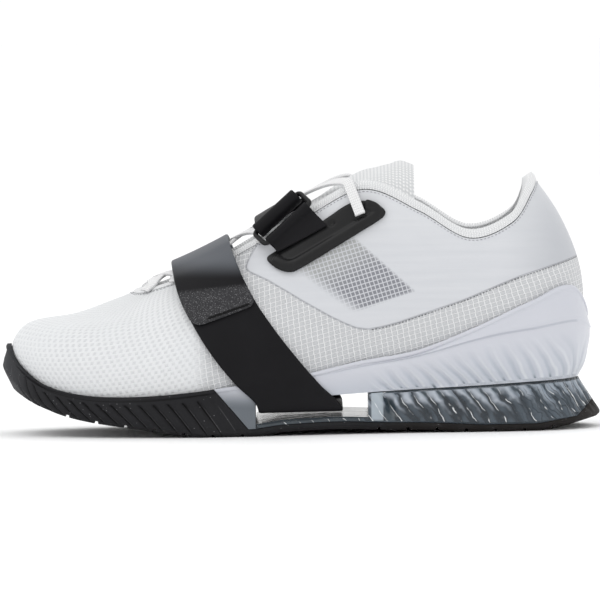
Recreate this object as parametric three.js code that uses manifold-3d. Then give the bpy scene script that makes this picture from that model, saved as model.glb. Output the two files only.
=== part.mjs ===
import * as THREE from 'three';
import { mergeVertices } from 'three/addons/utils/BufferGeometryUtils.js';
import Module from 'manifold-3d';

const wasm = await Module();
wasm.setup();

// A left weightlifting shoe in millimetres: the toe points to -X, the lateral side faces -Y,
// and the floor is z = 0. The origin lies under the middle of the length.

// Main sizes
const shoeLength = 298;
const ballWidth = 100;          // across the upper's bottom edge at the ball
const collarHeight = 126;       // top of the collar in front of the ankle
const heelLift = 40;            // height of the footbed under the heel
const cupHeight = 72;           // highest point of the cup's rim round the heel
const toeSpring = 25;           // height of the tread line at the very toe
const archLift = 2.7;           // height of the tread line under the arch
const soleFlare = 10;           // what the flare shares of the sole are taken of

// Walls and clearances
const upperWall = 2.2;
const collarPadding = 2.4;      // added to the upper's wall round the ankle
const cupLip = 2.1;             // thickness of the sole's rim round the upper
const fitGap = 0.3;             // clearance where two pieces meet
const cupGap = 0.55;            // clearance between the upper and the cup that holds it
const tongueGap = 0.8;          // clearance of the tongue under the binding
const outsoleThickness = 3.6;   // thin rubber layer under arch and heel
const flangeThickness = 2.4;    // clear layer on the rubber along the arch
const insoleThickness = 4;
const tongueThickness = 4;
const bindingHeight = 5.2;
const bindingGap = 0.5;         // seam between the binding and the upper below it
const bindingSwell = 0.9;       // how far the binding stands out past the upper's wall

// Tables: a row for each section, with the columns that the heading names

const table = (columns, rows) => rows.map(
  (row) => Object.fromEntries(columns.map((column, i) => [column, row[i]])),
);

// Sections of the upper from toe to heel. foot is the upper's bottom edge and top its top edge.
// Along columns are shares of the length from the toe, Lateral and Medial of the ball width,
// footLift and waist of the heel lift, topLift of the collar height, rim of the cup height.
const upperSections = table(
  ['footAlong', 'footLateral', 'footMedial', 'footLift', 'topAlong', 'topLateral', 'topMedial', 'topLift',
    'rim', 'waist'],
  [
    [0.027, 0.06, 0.06, 0.675, 0.235, 0.03, 0.03, 0.571, 0.628, 0.95],
    [0.04, -0.09, 0.21, 0.64, 0.237, -0.03, 0.09, 0.571, 0.49, 0.775],
    [0.077, -0.26, 0.33, 0.54, 0.245, -0.09, 0.145, 0.573, 0.36, 0.51],
    [0.141, -0.38, 0.41, 0.425, 0.265, -0.13, 0.18, 0.587, 0.295, 0.375],
    [0.225, -0.465, 0.465, 0.34, 0.312, -0.16, 0.2, 0.627, 0.286, 0.325],
    [0.315, -0.505, 0.475, 0.325, 0.366, -0.18, 0.215, 0.687, 0.314, 0.325],
    [0.406, -0.49, 0.43, 0.4, 0.433, -0.21, 0.23, 0.778, 0.364, 0.375],
    [0.5, -0.44, 0.37, 0.55, 0.517, -0.25, 0.255, 0.893, 0.42, 0.46],
    [0.594, -0.39, 0.33, 0.66, 0.611, -0.29, 0.285, 1, 0.504, 0.51],
    [0.695, -0.36, 0.32, 0.79, 0.701, -0.31, 0.3, 0.913, 0.576, 0.545],
    [0.795, -0.355, 0.33, 0.9, 0.782, -0.31, 0.295, 0.802, 0.733, 0.575],
    [0.883, -0.33, 0.315, 0.975, 0.852, -0.27, 0.26, 0.857, 0.9, 0.61],
    [0.94, -0.22, 0.215, 1, 0.881, -0.15, 0.145, 0.964, 0.997, 0.625],
    [0.963, 0, 0, 1.01, 0.889, 0, 0, 1.012, 0.79, 0.63],
  ],
);

// How the wall swells between the two edges of each section. Out columns are shares of the ball
// width, Up columns of the section's own height. step is the height of the cup's step line as a
// share of the way from waist to rim.
const swellSections = table(
  ['wallOut', 'wallUp', 'shoulderOut', 'shoulderUp', 'crownOut', 'crownUp', 'step'],
  [
    [0.033, 0.4, 0.074, 0.635, 0.082, 0.74, 0.8],
    [0.033, 0.38, 0.072, 0.62, 0.07, 0.74, 0.8],
    [0.03, 0.36, 0.064, 0.61, 0.06, 0.75, 0.8],
    [0.025, 0.34, 0.045, 0.6, 0.063, 0.77, 0.8],
    [0.022, 0.3, 0.04, 0.56, 0.06, 0.8, 0.8],
    [0.022, 0.27, 0.043, 0.52, 0.065, 0.8, 0.8],
    [0.019, 0.24, 0.035, 0.48, 0.052, 0.79, 0.8],
    [0.02, 0.2, 0.035, 0.44, 0.035, 0.78, 0.8],
    [0.028, 0.2, 0.039, 0.44, 0.022, 0.78, 0.82],
    [0.03, 0.22, 0.035, 0.45, 0.025, 0.78, 0.84],
    [0.032, 0.25, 0.038, 0.48, 0.022, 0.78, 0.78],
    [0.033, 0.27, 0.04, 0.5, 0.025, 0.78, 0.66],
    [0.035, 0.27, 0.05, 0.52, 0.05, 0.8, 0.62],
    [0.037, 0.25, 0.059, 0.49, 0.052, 0.76, 0.75],
  ],
);

// Where along foot-to-top the wall, shoulder and crown of every section are measured from
const swellPlaces = { wall: 0, shoulder: 0.2, crown: 0.6 };

// Side of the sole from the tread up to the waist: Out columns are shares of the sole's flare past
// the upper's bottom edge, Up columns of the way from tread to waist.
const lowerSole = table(
  ['toeOut', 'toeUp', 'ballOut', 'ballUp', 'archOut', 'archUp', 'heelOut', 'heelUp', 'backOut', 'backUp'],
  [
    [-0.5, 0, 0.05, 0, 0.15, 0, 0.35, 0, 0.3, 0],
    [0.35, 0.28, 0.32, 0.2, 0.4, 0.12, 0.62, 0.1, 0.98, 0.09],
    [0.8, 0.75, 0.42, 0.55, 0.42, 0.25, 0.66, 0.2, 1.1, 0.21],
    [0.8, 0.9, 0.42, 0.8, 0.36, 0.6, 0.36, 0.6, 0.62, 0.58],
    [0.76, 1, 0.42, 1, 0.3, 1, 0.12, 1, 0.04, 1],
  ],
);

// Side of the sole above the waist: up is the share of the way from waist to rim, or to the step
const upperSole = table(
  ['toeOut', 'ballOut', 'archOut', 'heelOut', 'backOut', 'up'],
  [
    [0.7, 0.41, 0.32, 0.36, 0.42, 0.3],
    [0.62, 0.39, 0.36, 0.54, 0.66, 0.75],
    [0.58, 0.37, 0.36, 0.54, 0.68, 0.98],
    [0.58, 0.37, 0.36, 0.62, 0.74, 1.02],
  ],
);
const soleKinds = ['toe', 'ball', 'arch', 'heel', 'back'];
const soleKindPlaces = [0, 3.5, 7, 10.5, 13];   // the section numbers where each kind is pure

// Height of the tread above the floor: toe is a share of the toe spring, arch of the arch lift
const treadLine = table(
  ['along', 'toe', 'arch'],
  [
    [0, 1, 0],
    [0.044, 0.7, 0],
    [0.097, 0.44, 0],
    [0.141, 0.316, 0],
    [0.191, 0.224, 0],
    [0.245, 0.136, 0],
    [0.295, 0.056, 0],
    [0.339, 0, 0],
    [0.413, 0, 0],
    [0.473, 0, 0.74],
    [0.56, 0, 1],
    [0.634, 0, 0.7],
    [0.701, 0, 0.55],
    [0.762, 0, 0.26],
    [0.809, 0, 0],
    [0.886, 0, 0],
    [0.93, 0, 0.6],
    [1, 0, 1.7],
  ],
);

// Curves through the tables

const mix = (a, b, t) => a + (b - a) * t;
const clamp = (value, low, high) => Math.min(Math.max(value, low), high);
const ease = (t) => {
  const s = clamp(t, 0, 1);
  return s * s * (3 - 2 * s);
};
const alongX = (share) => (share - 0.5) * shoeLength;

function catmull(a, b, c, d, t) {
  const t2 = t * t;
  const t3 = t2 * t;
  return 0.5 * (2 * b + (c - a) * t + (2 * a - 5 * b + 4 * c - d) * t2 + (3 * b - a - 3 * c + d) * t3);
}

// Curve through points that never overshoots, so flat stretches stay flat
function levelCurve(xs, ys, x) {
  const last = xs.length - 1;
  const at = clamp(x, xs[0], xs[last]);
  let i = 0;
  while (i < last - 1 && at > xs[i + 1]) i += 1;
  const slope = (k) => (ys[k + 1] - ys[k]) / (xs[k + 1] - xs[k]);
  const tangent = (k) => {
    if (k === 0) return slope(0);
    if (k === last) return slope(last - 1);
    const before = slope(k - 1);
    const after = slope(k);
    return before * after <= 0 ? 0 : (2 * before * after) / (before + after);
  };
  const span = xs[i + 1] - xs[i];
  const t = (at - xs[i]) / span;
  const t2 = t * t;
  const t3 = t2 * t;
  return (2 * t3 - 3 * t2 + 1) * ys[i] + (t3 - 2 * t2 + t) * span * tangent(i)
    + (3 * t2 - 2 * t3) * ys[i + 1] + (t3 - t2) * span * tangent(i + 1);
}

const treadXs = treadLine.map((row) => alongX(row.along));
const treadZs = treadLine.map((row) => row.toe * toeSpring + row.arch * archLift);
const treadHeight = (x) => levelCurve(treadXs, treadZs, x);

// Stations run round the shoe: 0 at the toe, up to heelStation along the lateral side, and on
// along the medial side back to the toe at twice that.
const heelStation = upperSections.length - 1;
const fullTurn = 2 * heelStation;

function sectionValue(rows, station, lateral, medial = lateral) {
  const start = Math.floor(station);
  const pick = (index) => {
    const k = ((index % fullTurn) + fullTurn) % fullTurn;
    return k <= heelStation ? rows[k][lateral] : rows[fullTurn - k][medial];
  };
  return catmull(pick(start - 1), pick(start), pick(start + 1), pick(start + 2), station - start);
}

function footEdge(station) {
  return new THREE.Vector3(
    alongX(sectionValue(upperSections, station, 'footAlong')),
    ballWidth * sectionValue(upperSections, station, 'footLateral', 'footMedial'),
    heelLift * sectionValue(upperSections, station, 'footLift'),
  );
}

function topEdge(station) {
  return new THREE.Vector3(
    alongX(sectionValue(upperSections, station, 'topAlong')),
    ballWidth * sectionValue(upperSections, station, 'topLateral', 'topMedial'),
    collarHeight * sectionValue(upperSections, station, 'topLift'),
  );
}

// Level direction that points away from the shoe at a station of the bottom edge
function outward(station) {
  const step = 0.05;
  const ahead = footEdge(station + step);
  const behind = footEdge(station - step);
  return new THREE.Vector3(ahead.y - behind.y, behind.x - ahead.x, 0).normalize();
}

// The last: a point of the upper's outside, from the bottom edge (share 0) to the top edge (1)
const profiles = new Map();
function profile(station) {
  if (profiles.has(station)) return profiles.get(station);
  const foot = footEdge(station);
  const top = topEdge(station);
  const out = outward(station);
  const knots = [foot];
  for (const [name, place] of Object.entries(swellPlaces)) {
    const knot = foot.clone().lerp(top, place);
    knot.addScaledVector(out, ballWidth * sectionValue(swellSections, station, `${name}Out`));
    knot.z = mix(foot.z, top.z, sectionValue(swellSections, station, `${name}Up`));
    knots.push(knot);
  }
  knots.push(top);
  const lengths = [0];
  for (let i = 1; i < knots.length; i += 1) lengths.push(lengths[i - 1] + knots[i].distanceTo(knots[i - 1]));
  profiles.set(station, { knots, lengths });
  return profiles.get(station);
}

function skin(station, share) {
  const { knots, lengths } = profile(station);
  const last = knots.length - 1;
  const at = share * lengths[last];
  let i = 0;
  while (i < last - 1 && at > lengths[i + 1]) i += 1;
  const tangent = (k) => {
    const a = Math.max(k - 1, 0);
    const b = Math.min(k + 1, last);
    return knots[b].clone().sub(knots[a]).divideScalar(lengths[b] - lengths[a]);
  };
  const span = lengths[i + 1] - lengths[i];
  const t = (at - lengths[i]) / span;
  const t2 = t * t;
  const t3 = t2 * t;
  return new THREE.Vector3()
    .addScaledVector(knots[i], 2 * t3 - 3 * t2 + 1)
    .addScaledVector(tangent(i), (t3 - 2 * t2 + t) * span)
    .addScaledVector(knots[i + 1], 3 * t2 - 2 * t3)
    .addScaledVector(tangent(i + 1), (t3 - t2) * span);
}

function skinNormal(station, share) {
  const step = 0.02;
  const around = skin(station + step, share).sub(skin(station - step, share));
  const up = skin(station, Math.min(share + step, 1)).sub(skin(station, Math.max(share - step, 0)));
  return around.cross(up).normalize();
}

// Point at a distance from the last's surface: outside it when positive, inside when negative
const offSkin = (station, share, distance) => skin(station, share)
  .addScaledVector(skinNormal(station, share), distance);

// Share at which a station's profile passes a height
function shareAtHeight(station, height) {
  let low = 0;
  let high = 0.75;
  for (let i = 0; i < 24; i += 1) {
    const middle = (low + high) / 2;
    if (skin(station, middle).z < height) low = middle;
    else high = middle;
  }
  return (low + high) / 2;
}

const profileLength = (station) => profile(station).lengths.at(-1);
const bindingShare = (station) => 1 - bindingHeight / profileLength(station);

// The collar's padding fades in behind the instep and towards the top edge
function wallAt(station, share) {
  const side = station <= heelStation ? station : fullTurn - station;
  return upperWall + collarPadding * ease((side - 7) / 2) * ease((share - 0.55) / 0.3);
}

// Stations that the pieces are built on: finer round the heel than along the sides
const stations = [];
for (let k = 0; k < heelStation; k += 1) {
  const parts = k >= heelStation - 2 ? 3 : 2;
  for (let i = 0; i < parts; i += 1) stations.push(k + i / parts);
}
stations.push(heelStation);
for (let i = stations.length - 2; i > 0; i -= 1) stations.push(fullTurn - stations[i]);

// Solids

function geometryFrom(points, triangles) {
  const corner = (k) => points[k];
  const volume = triangles.reduce(
    (sum, [a, b, c]) => sum + corner(a).dot(new THREE.Vector3().crossVectors(corner(b), corner(c))),
    0,
  );
  const geometry = new THREE.BufferGeometry();
  geometry.setAttribute('position', new THREE.Float32BufferAttribute(points.flatMap((p) => p.toArray()), 3));
  geometry.setIndex(triangles.flatMap(([a, b, c]) => (volume < 0 ? [a, c, b] : [a, b, c])));
  return geometry;
}

// Triangles between each ring of points and the next
function ringStrips(rings, count, closed) {
  const triangles = [];
  const strips = closed ? rings : rings - 1;
  for (let r = 0; r < strips; r += 1) {
    const next = (r + 1) % rings;
    for (let i = 0; i < count; i += 1) {
      const j = (i + 1) % count;
      triangles.push([r * count + i, r * count + j, next * count + i]);
      triangles.push([r * count + j, next * count + j, next * count + i]);
    }
  }
  return triangles;
}

// A wall that closes on itself: rings of points, each joined to the next and the last to the first
function wallSolid(rings) {
  return geometryFrom(rings.flat(), ringStrips(rings.length, rings[0].length, true));
}

// A bowl or block: rings joined in turn, the first and last closed by rows from side to side.
// between(a, b, t) gives the points inside a row of the last ring's lid.
function blockSolid(rings, between, columns = 0) {
  const count = rings[0].length;
  const points = rings.flat();
  const triangles = ringStrips(rings.length, count, false);
  const half = count / 2;
  const close = (base, flip, inner) => {
    const row = (i) => {
      if (i === 0 || i === half) return [base + i];
      const a = points[base + i];
      const b = points[base + count - i];
      const middle = [];
      for (let c = 1; c <= inner; c += 1) {
        points.push(between(a, b, c / (inner + 1), i));
        middle.push(points.length - 1);
      }
      return [base + i, ...middle, base + count - i];
    };
    let before = row(0);
    for (let i = 1; i <= half; i += 1) {
      const after = row(i);
      const long = Math.max(before.length, after.length);
      for (let c = 0; c < long - 1; c += 1) {
        const a = before[Math.min(c, before.length - 1)];
        const b = before[Math.min(c + 1, before.length - 1)];
        const d = after[Math.min(c, after.length - 1)];
        const e = after[Math.min(c + 1, after.length - 1)];
        if (a !== b) triangles.push(flip ? [a, b, e] : [a, e, b]);
        if (d !== e) triangles.push(flip ? [a, e, d] : [a, d, e]);
      }
      before = after;
    }
  };
  close(0, true, 0);
  close((rings.length - 1) * count, false, columns);
  return geometryFrom(points, triangles);
}

// A sheet: a grid of points on its face and another on its back, closed round the edge
function sheetSolid(face, back) {
  const rows = face.length;
  const columns = face[0].length;
  const points = [...face.flat(), ...back.flat()];
  const f = (r, c) => r * columns + c;
  const b = (r, c) => rows * columns + f(r, c);
  const triangles = [];
  const quad = (p, q, s, t) => triangles.push([p, q, s], [p, s, t]);
  for (let r = 0; r < rows - 1; r += 1) {
    for (let c = 0; c < columns - 1; c += 1) {
      quad(f(r, c), f(r, c + 1), f(r + 1, c + 1), f(r + 1, c));
      quad(b(r, c), b(r + 1, c), b(r + 1, c + 1), b(r, c + 1));
    }
  }
  for (let r = 0; r < rows - 1; r += 1) {
    quad(f(r, 0), f(r + 1, 0), b(r + 1, 0), b(r, 0));
    quad(f(r, columns - 1), b(r, columns - 1), b(r + 1, columns - 1), f(r + 1, columns - 1));
  }
  for (let c = 0; c < columns - 1; c += 1) {
    quad(f(0, c), b(0, c), b(0, c + 1), f(0, c + 1));
    quad(f(rows - 1, c), f(rows - 1, c + 1), b(rows - 1, c + 1), b(rows - 1, c));
  }
  return geometryFrom(points, triangles);
}

function solidOf(geometry) {
  const bare = geometry.clone();
  bare.deleteAttribute('normal');
  bare.deleteAttribute('uv');
  const merged = mergeVertices(bare, 1e-4);
  return new wasm.Manifold(new wasm.Mesh({
    numProp: 3,
    vertProperties: Float32Array.from(merged.attributes.position.array),
    triVerts: Uint32Array.from(merged.index.array),
  }));
}

function geometryOf(solid) {
  const mesh = solid.getMesh();
  const geometry = new THREE.BufferGeometry();
  geometry.setAttribute('position', new THREE.Float32BufferAttribute(Array.from(mesh.vertProperties), 3));
  geometry.setIndex(Array.from(mesh.triVerts));
  return geometry;
}

const joined = (solids) => solids.reduce((whole, solid) => whole.add(solid));

// A block with a side-view outline of [x, z] points, from fromY to toY across the shoe
function sideBlock(outline, fromY, toY, holes = []) {
  const shape = new THREE.Shape(outline.map(([x, z]) => new THREE.Vector2(x, z)));
  for (const hole of holes) shape.holes.push(new THREE.Path(hole.map(([x, z]) => new THREE.Vector2(x, z))));
  const geometry = new THREE.ExtrudeGeometry(shape, { depth: toY - fromY, bevelEnabled: false });
  geometry.rotateX(Math.PI / 2);
  geometry.translate(0, toY, 0);
  return solidOf(geometry);
}

// Upper, binding, insole and tongue

const rimShare = (station) => shareAtHeight(station, cupHeight * sectionValue(upperSections, station, 'rim'));
const rowsInCup = 2;
const rowsAboveCup = 7;

function upperShares(station) {
  const rim = rimShare(station);
  const end = bindingShare(station);
  const shares = [];
  for (let i = 0; i < rowsInCup; i += 1) shares.push((rim * i) / rowsInCup);
  for (let i = 0; i <= rowsAboveCup; i += 1) shares.push(mix(rim, end, i / rowsAboveCup));
  return shares;
}

function upperGeometry() {
  const shares = stations.map(upperShares);
  const rows = rowsInCup + rowsAboveCup + 1;
  const rings = [];
  for (let r = 0; r < rows; r += 1) rings.push(stations.map((s, i) => offSkin(s, shares[i][r], 0)));
  for (let r = rows - 1; r >= 0; r -= 1) {
    rings.push(stations.map((s, i) => offSkin(s, shares[i][r], -wallAt(s, shares[i][r]))));
  }
  return wallSolid(rings);
}

// The binding's section: how far up the binding strip, and how far out of or into the upper's wall
const bindingSection = table(
  ['up', 'out', 'inside'],
  [
    [0, 0.4, 0],
    [0.5, 1, 0],
    [0.95, 0.4, 0],
    [0.95, 0.4, 1],
    [0.5, 1, 1],
    [0, 0.4, 1],
  ],
);

function bindingGeometry() {
  const rings = bindingSection.map(({ up, out, inside }) => stations.map((s) => {
    const start = bindingShare(s) + bindingGap / profileLength(s);
    const share = mix(start, 1, up);
    const swell = out * bindingSwell;
    return offSkin(s, share, inside ? -wallAt(s, share) - swell : swell);
  }));
  return wallSolid(rings);
}

function insoleGeometry() {
  const ring = (rise) => stations.map((s) => {
    const foot = footEdge(s);
    const share = shareAtHeight(s, foot.z + rise);
    const point = offSkin(s, share, -(upperWall + fitGap));
    point.z = foot.z + rise;
    return point;
  });
  return blockSolid([ring(0), ring(insoleThickness)]);
}

// Over the throat: a point of the arch from the lateral top edge (w = -1) to the medial one (w = 1)
function overThroat(station, w, distance, crown) {
  const left = offSkin(station, 1, distance);
  const right = offSkin(fullTurn - station, 1, distance);
  const point = left.lerp(right, (w + 1) / 2);
  point.z += crown * (1 - Math.abs(w) ** 2.4);
  return point;
}

// Rows of the tongue from its front end: where its side edges lie on the wall's profile, and how
// high it crowns over the top edges, as a share of the collar height
const tongueRows = table(
  ['station', 'edge', 'crown'],
  [
    [0.7, 0.93, 0.004],
    [2, 0.91, 0.012],
    [3, 0.89, 0.02],
    [4, 0.87, 0.026],
    [5, 0.86, 0.03],
    [6, 0.85, 0.03],
    [7, 0.84, 0.028],
    [7.6, 0.84, 0.03],
    [8.1, 0.83, 0.045],
    [8.45, 0.82, 0.085],
    [8.7, 0.82, 0.13],
    [8.95, 0.82, 0.15],
  ],
);
const tongueAcross = [-1, -0.75, -0.45, -0.15, 0.15, 0.45, 0.75, 1];
const tongueInset = (station) => wallAt(station, 1) + bindingSwell + tongueGap;

function tongueCrown(station) {
  return collarHeight * levelCurve(tongueRows.map((r) => r.station), tongueRows.map((r) => r.crown), station);
}

function tongueGeometry() {
  const face = tongueRows.map(({ station, edge, crown }) => {
    const under = (at, share) => offSkin(at, share, -tongueInset(at));
    const middle = tongueAcross.map((w) => overThroat(station, w, -tongueInset(station), crown * collarHeight));
    const other = fullTurn - station;
    return [under(station, edge), under(station, (edge + 1) / 2), ...middle,
      under(other, (edge + 1) / 2), under(other, edge)];
  });
  const last = face.length - 1;
  const wide = face[0].length - 1;
  const back = face.map((row, r) => row.map((point, c) => {
    const along = face[Math.min(r + 1, last)][c].clone().sub(face[Math.max(r - 1, 0)][c]);
    const across = row[Math.min(c + 1, wide)].clone().sub(row[Math.max(c - 1, 0)]);
    return point.clone().addScaledVector(along.cross(across).normalize(), -tongueThickness);
  }));
  return sheetSolid(face, back);
}

// Sole: one form for the whole side, cut into rubber, clear wedge and chassis

function soleOut(row, station, part) {
  const side = station <= heelStation ? station : fullTurn - station;
  let i = 0;
  while (i < soleKindPlaces.length - 2 && side > soleKindPlaces[i + 1]) i += 1;
  const t = ease((side - soleKindPlaces[i]) / (soleKindPlaces[i + 1] - soleKindPlaces[i]));
  return mix(row[soleKinds[i] + part], row[soleKinds[i + 1] + part], t);
}

const waistHeight = (station) => heelLift * sectionValue(upperSections, station, 'waist');
const rimHeight = (station) => cupHeight * sectionValue(upperSections, station, 'rim');
const beadHeight = 2.2;
const beadSwell = 0.5;

// Points of the sole's side at a station, from the tread to the rim
function soleSide(station) {
  const foot = footEdge(station);
  const out = outward(station);
  const place = (share, z) => {
    const point = foot.clone().addScaledVector(out, soleFlare * share);
    point.z = z;
    return point;
  };
  const treadOut = soleOut(lowerSole[0], station, 'Out');
  const tread = treadHeight(place(treadOut, 0).x);
  const waist = waistHeight(station);
  const rim = rimHeight(station);
  const points = lowerSole.map((row) => place(
    soleOut(row, station, 'Out'),
    mix(tread, waist, soleOut(row, station, 'Up')),
  ));
  const step = mix(waist, rim, sectionValue(swellSections, station, 'step'));
  for (const row of upperSole) {
    points.push(place(soleOut(row, station, 'Out'), mix(waist, step, row.up)));
  }
  const rimRow = (below, distance) => {
    const point = offSkin(station, shareAtHeight(station, rim - below), cupGap + distance);
    point.z = rim - below;
    return point;
  };
  points.push(rimRow(beadHeight, cupLip), rimRow(beadHeight * 0.6, cupLip + beadSwell), rimRow(0, cupLip));
  return points;
}

function soleForm() {
  const sides = stations.map(soleSide);
  const rings = sides[0].map((_, r) => sides.map((side) => side[r]));
  for (let r = rowsInCup; r > 0; r -= 1) {
    rings.push(stations.map((s) => offSkin(s, (rimShare(s) * r) / rowsInCup, cupGap)));
  }
  rings.push(stations.map((s) => {
    const point = offSkin(s, 0, cupGap);
    point.z = footEdge(s).z - fitGap;
    return point;
  }));
  return solidOf(blockSolid(rings));
}

// Side-view borders between the sole's pieces. diagonal is the rear edge of the black forefoot, slot
// the opening under the arch that the strap goes through, lip the rubber's turned-up heel end.
// Along values are shares of the length from the toe.
const diagonal = { topAlong: 0.353, bottomAlong: 0.41 };
const slot = { frontAlong: 0.423, backAlong: 0.611, front: 0.44, back: 0.515 };
const lip = { startAlong: 0.96, topAlong: 0.988, rise: 1.08 };
const beyond = 20;                        // how far the cutting blocks reach past the shoe
const farY = ballWidth / 2 + beyond;
const layerTop = (x) => treadHeight(x) + outsoleThickness;
const waistLine = (x) => {
  const half = upperSections.map((row) => alongX(row.footAlong));
  return levelCurve(half, upperSections.map((row) => row.waist * heelLift), x);
};

// Points along a height line from one place to another, the inner ones at shares of the length
// that all the borders use, so that neighbours stay parallel
function linePoints(height, fromX, toX, lift) {
  const pitch = shoeLength / 32;
  const first = Math.min(fromX, toX);
  const last = Math.max(fromX, toX);
  const xs = [first];
  for (let k = Math.ceil(first / pitch); k * pitch < last; k += 1) {
    if (k * pitch > first) xs.push(k * pitch);
  }
  xs.push(last);
  const points = xs.map((x) => [x, height(x) + lift]);
  return fromX < toX ? points : points.reverse();
}

const heelEnd = shoeLength / 2 + beyond;
const overTop = cupHeight + beyond;
const diagonalTopZ = rimHeight(5.5);
const diagonalTop = alongX(diagonal.topAlong);
const diagonalBottom = alongX(diagonal.bottomAlong);
const slotFront = alongX(slot.frontAlong);
const slotBack = alongX(slot.backAlong);
const lipStart = alongX(lip.startAlong);
const lipTop = alongX(lip.topAlong);
const lipHeight = soleFlare * lip.rise + outsoleThickness * 0.8;

function rubberOutline() {
  return [
    [-heelEnd, -beyond],
    [-heelEnd, overTop],
    [diagonalTop - (diagonalBottom - diagonalTop), overTop],
    [diagonalTop, diagonalTopZ],
    ...linePoints(layerTop, diagonalBottom, lipStart, 0),
    [lipTop, lipHeight],
    [heelEnd, lipHeight + outsoleThickness],
    [heelEnd, -beyond],
  ];
}

function wedgeOutline() {
  const flangeTop = (x) => layerTop(x) + flangeThickness;
  return [
    ...linePoints(layerTop, slotFront + fitGap, lipStart, fitGap),
    [lipTop, lipHeight + fitGap],
    [heelEnd, lipHeight + outsoleThickness + fitGap],
    ...linePoints(waistLine, heelEnd, slotBack, -fitGap),
    ...linePoints(flangeTop, slotBack, slotFront + fitGap, fitGap),
  ];
}

function chassisOutline() {
  return [
    [diagonalTop - (diagonalBottom - diagonalTop) + fitGap, overTop],
    [diagonalTop + fitGap, diagonalTopZ],
    [diagonalBottom + fitGap, layerTop(diagonalBottom) + fitGap],
    [slotFront, layerTop(slotFront) + fitGap],
    [slotFront, heelLift * slot.front],
    [slotBack, heelLift * slot.back],
    ...linePoints(waistLine, slotBack, heelEnd, 0).slice(1),
    [heelEnd, overTop],
  ];
}

// Grooves in the sole: a V-shaped cut from one point to another, open towards out
function groove(from, to, out, width, depth) {
  const across = to.clone().sub(from).cross(out).normalize();
  const proud = depth + 1;
  const corners = [];
  for (const end of [from, to]) {
    const reach = (width / 2) * ((depth + proud) / depth);
    corners.push(end.clone().addScaledVector(out, proud).addScaledVector(across, reach));
    corners.push(end.clone().addScaledVector(out, proud).addScaledVector(across, -reach));
    corners.push(end.clone().addScaledVector(out, -depth));
  }
  const faces = [[0, 1, 2], [3, 5, 4], [0, 3, 1], [1, 3, 4], [1, 4, 2], [2, 4, 5], [2, 5, 0], [0, 5, 3]];
  return solidOf(geometryFrom(corners, faces));
}

const treadGrooves = { pitch: 14.5, width: 2.2, depth: 1.3 };
const fins = { pitch: 11.1, lean: 9, width: 4.8, depth: 1.7, from: 8.35 };
const flutes = { pitch: 22.2, lean: 8, width: 5.2, depth: 1.1 };

// Stations at equal distances along the sole's side, from one station to another
function spacedStations(from, to, pitch) {
  const places = [from];
  let walked = 0;
  const step = 0.02;
  for (let s = from; s < to; s += step) {
    walked += footEdge(s).distanceTo(footEdge(s + step));
    if (walked >= pitch) {
      places.push(s + step);
      walked -= pitch;
    }
  }
  return places;
}

// Station further round by a distance along the sole's side
const shifted = (station, distance) => {
  const step = 0.05;
  return station + (distance * step) / footEdge(station).distanceTo(footEdge(station + step));
};

// Point of the sole's side on the way between two of its levels
const sidePoint = (station, level, share) => {
  const side = soleSide(station);
  return side[level].clone().lerp(side[level + 1], share);
};

function sideGrooves() {
  const cuts = [];
  const onBothSides = (stationsAlong, make) => {
    for (const s of stationsAlong) {
      cuts.push(make(s, 1));
      cuts.push(make(fullTurn - s, -1));
    }
  };
  onBothSides(spacedStations(fins.from, heelStation - 0.2, fins.pitch), (s, way) => {
    const lean = fins.lean * ease((heelStation - 0.4 - (way > 0 ? s : fullTurn - s)) / 1.2);
    return groove(
      sidePoint(s, 4, 0.2),
      sidePoint(shifted(s, way * lean), 2, 0.25),
      outward(s),
      fins.width,
      fins.depth,
    );
  });
  onBothSides(spacedStations(fins.from, heelStation - 0.4, flutes.pitch), (s, way) => {
    const lean = flutes.lean * ease((heelStation - 0.4 - (way > 0 ? s : fullTurn - s)) / 1.2);
    return groove(
      sidePoint(shifted(s, -way * lean), 6, 0.1),
      sidePoint(s, 4, 0),
      outward(s),
      flutes.width,
      flutes.depth,
    );
  });
  return cuts;
}

function treadCuts() {
  const cuts = [];
  const down = new THREE.Vector3(0, 0, -1);
  const cut = (x) => {
    const z = treadHeight(x);
    const slope = Math.atan2(treadHeight(x + 1) - treadHeight(x - 1), 2);
    const out = down.clone().applyAxisAngle(new THREE.Vector3(0, 1, 0), -slope);
    cuts.push(groove(
      new THREE.Vector3(x, -farY, z),
      new THREE.Vector3(x, farY, z),
      out,
      treadGrooves.width,
      treadGrooves.depth,
    ));
  };
  const forefootFlat = (treadXs[7] + treadXs[8]) / 2;
  const heelFlat = (treadXs[14] + treadXs[15]) / 2;
  for (let k = -5; k <= 0; k += 1) cut(forefootFlat + (k - 0.5) * treadGrooves.pitch);
  cut(forefootFlat + 0.5 * treadGrooves.pitch);
  for (let k = -4; k <= 2; k += 1) cut(heelFlat + (k - 0.5) * treadGrooves.pitch);
  return cuts;
}

// Forms over the shoe, which the straps and plates are cut between

const strapThickness = 1.6;
const strapGap = 0.5;               // clearance of the midfoot strap over sole and upper
const laceWidth = 5.4;
const laceThickness = 1.2;
const laceGap = 0.45;               // clearance of the lace over binding and tongue
const strapLevel = 0.29;            // height of the strap in the slot as a share of the heel lift
const laceRise = bindingSwell + laceGap;
const laceRoom = laceRise + 2 * laceThickness + 0.6;

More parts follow.
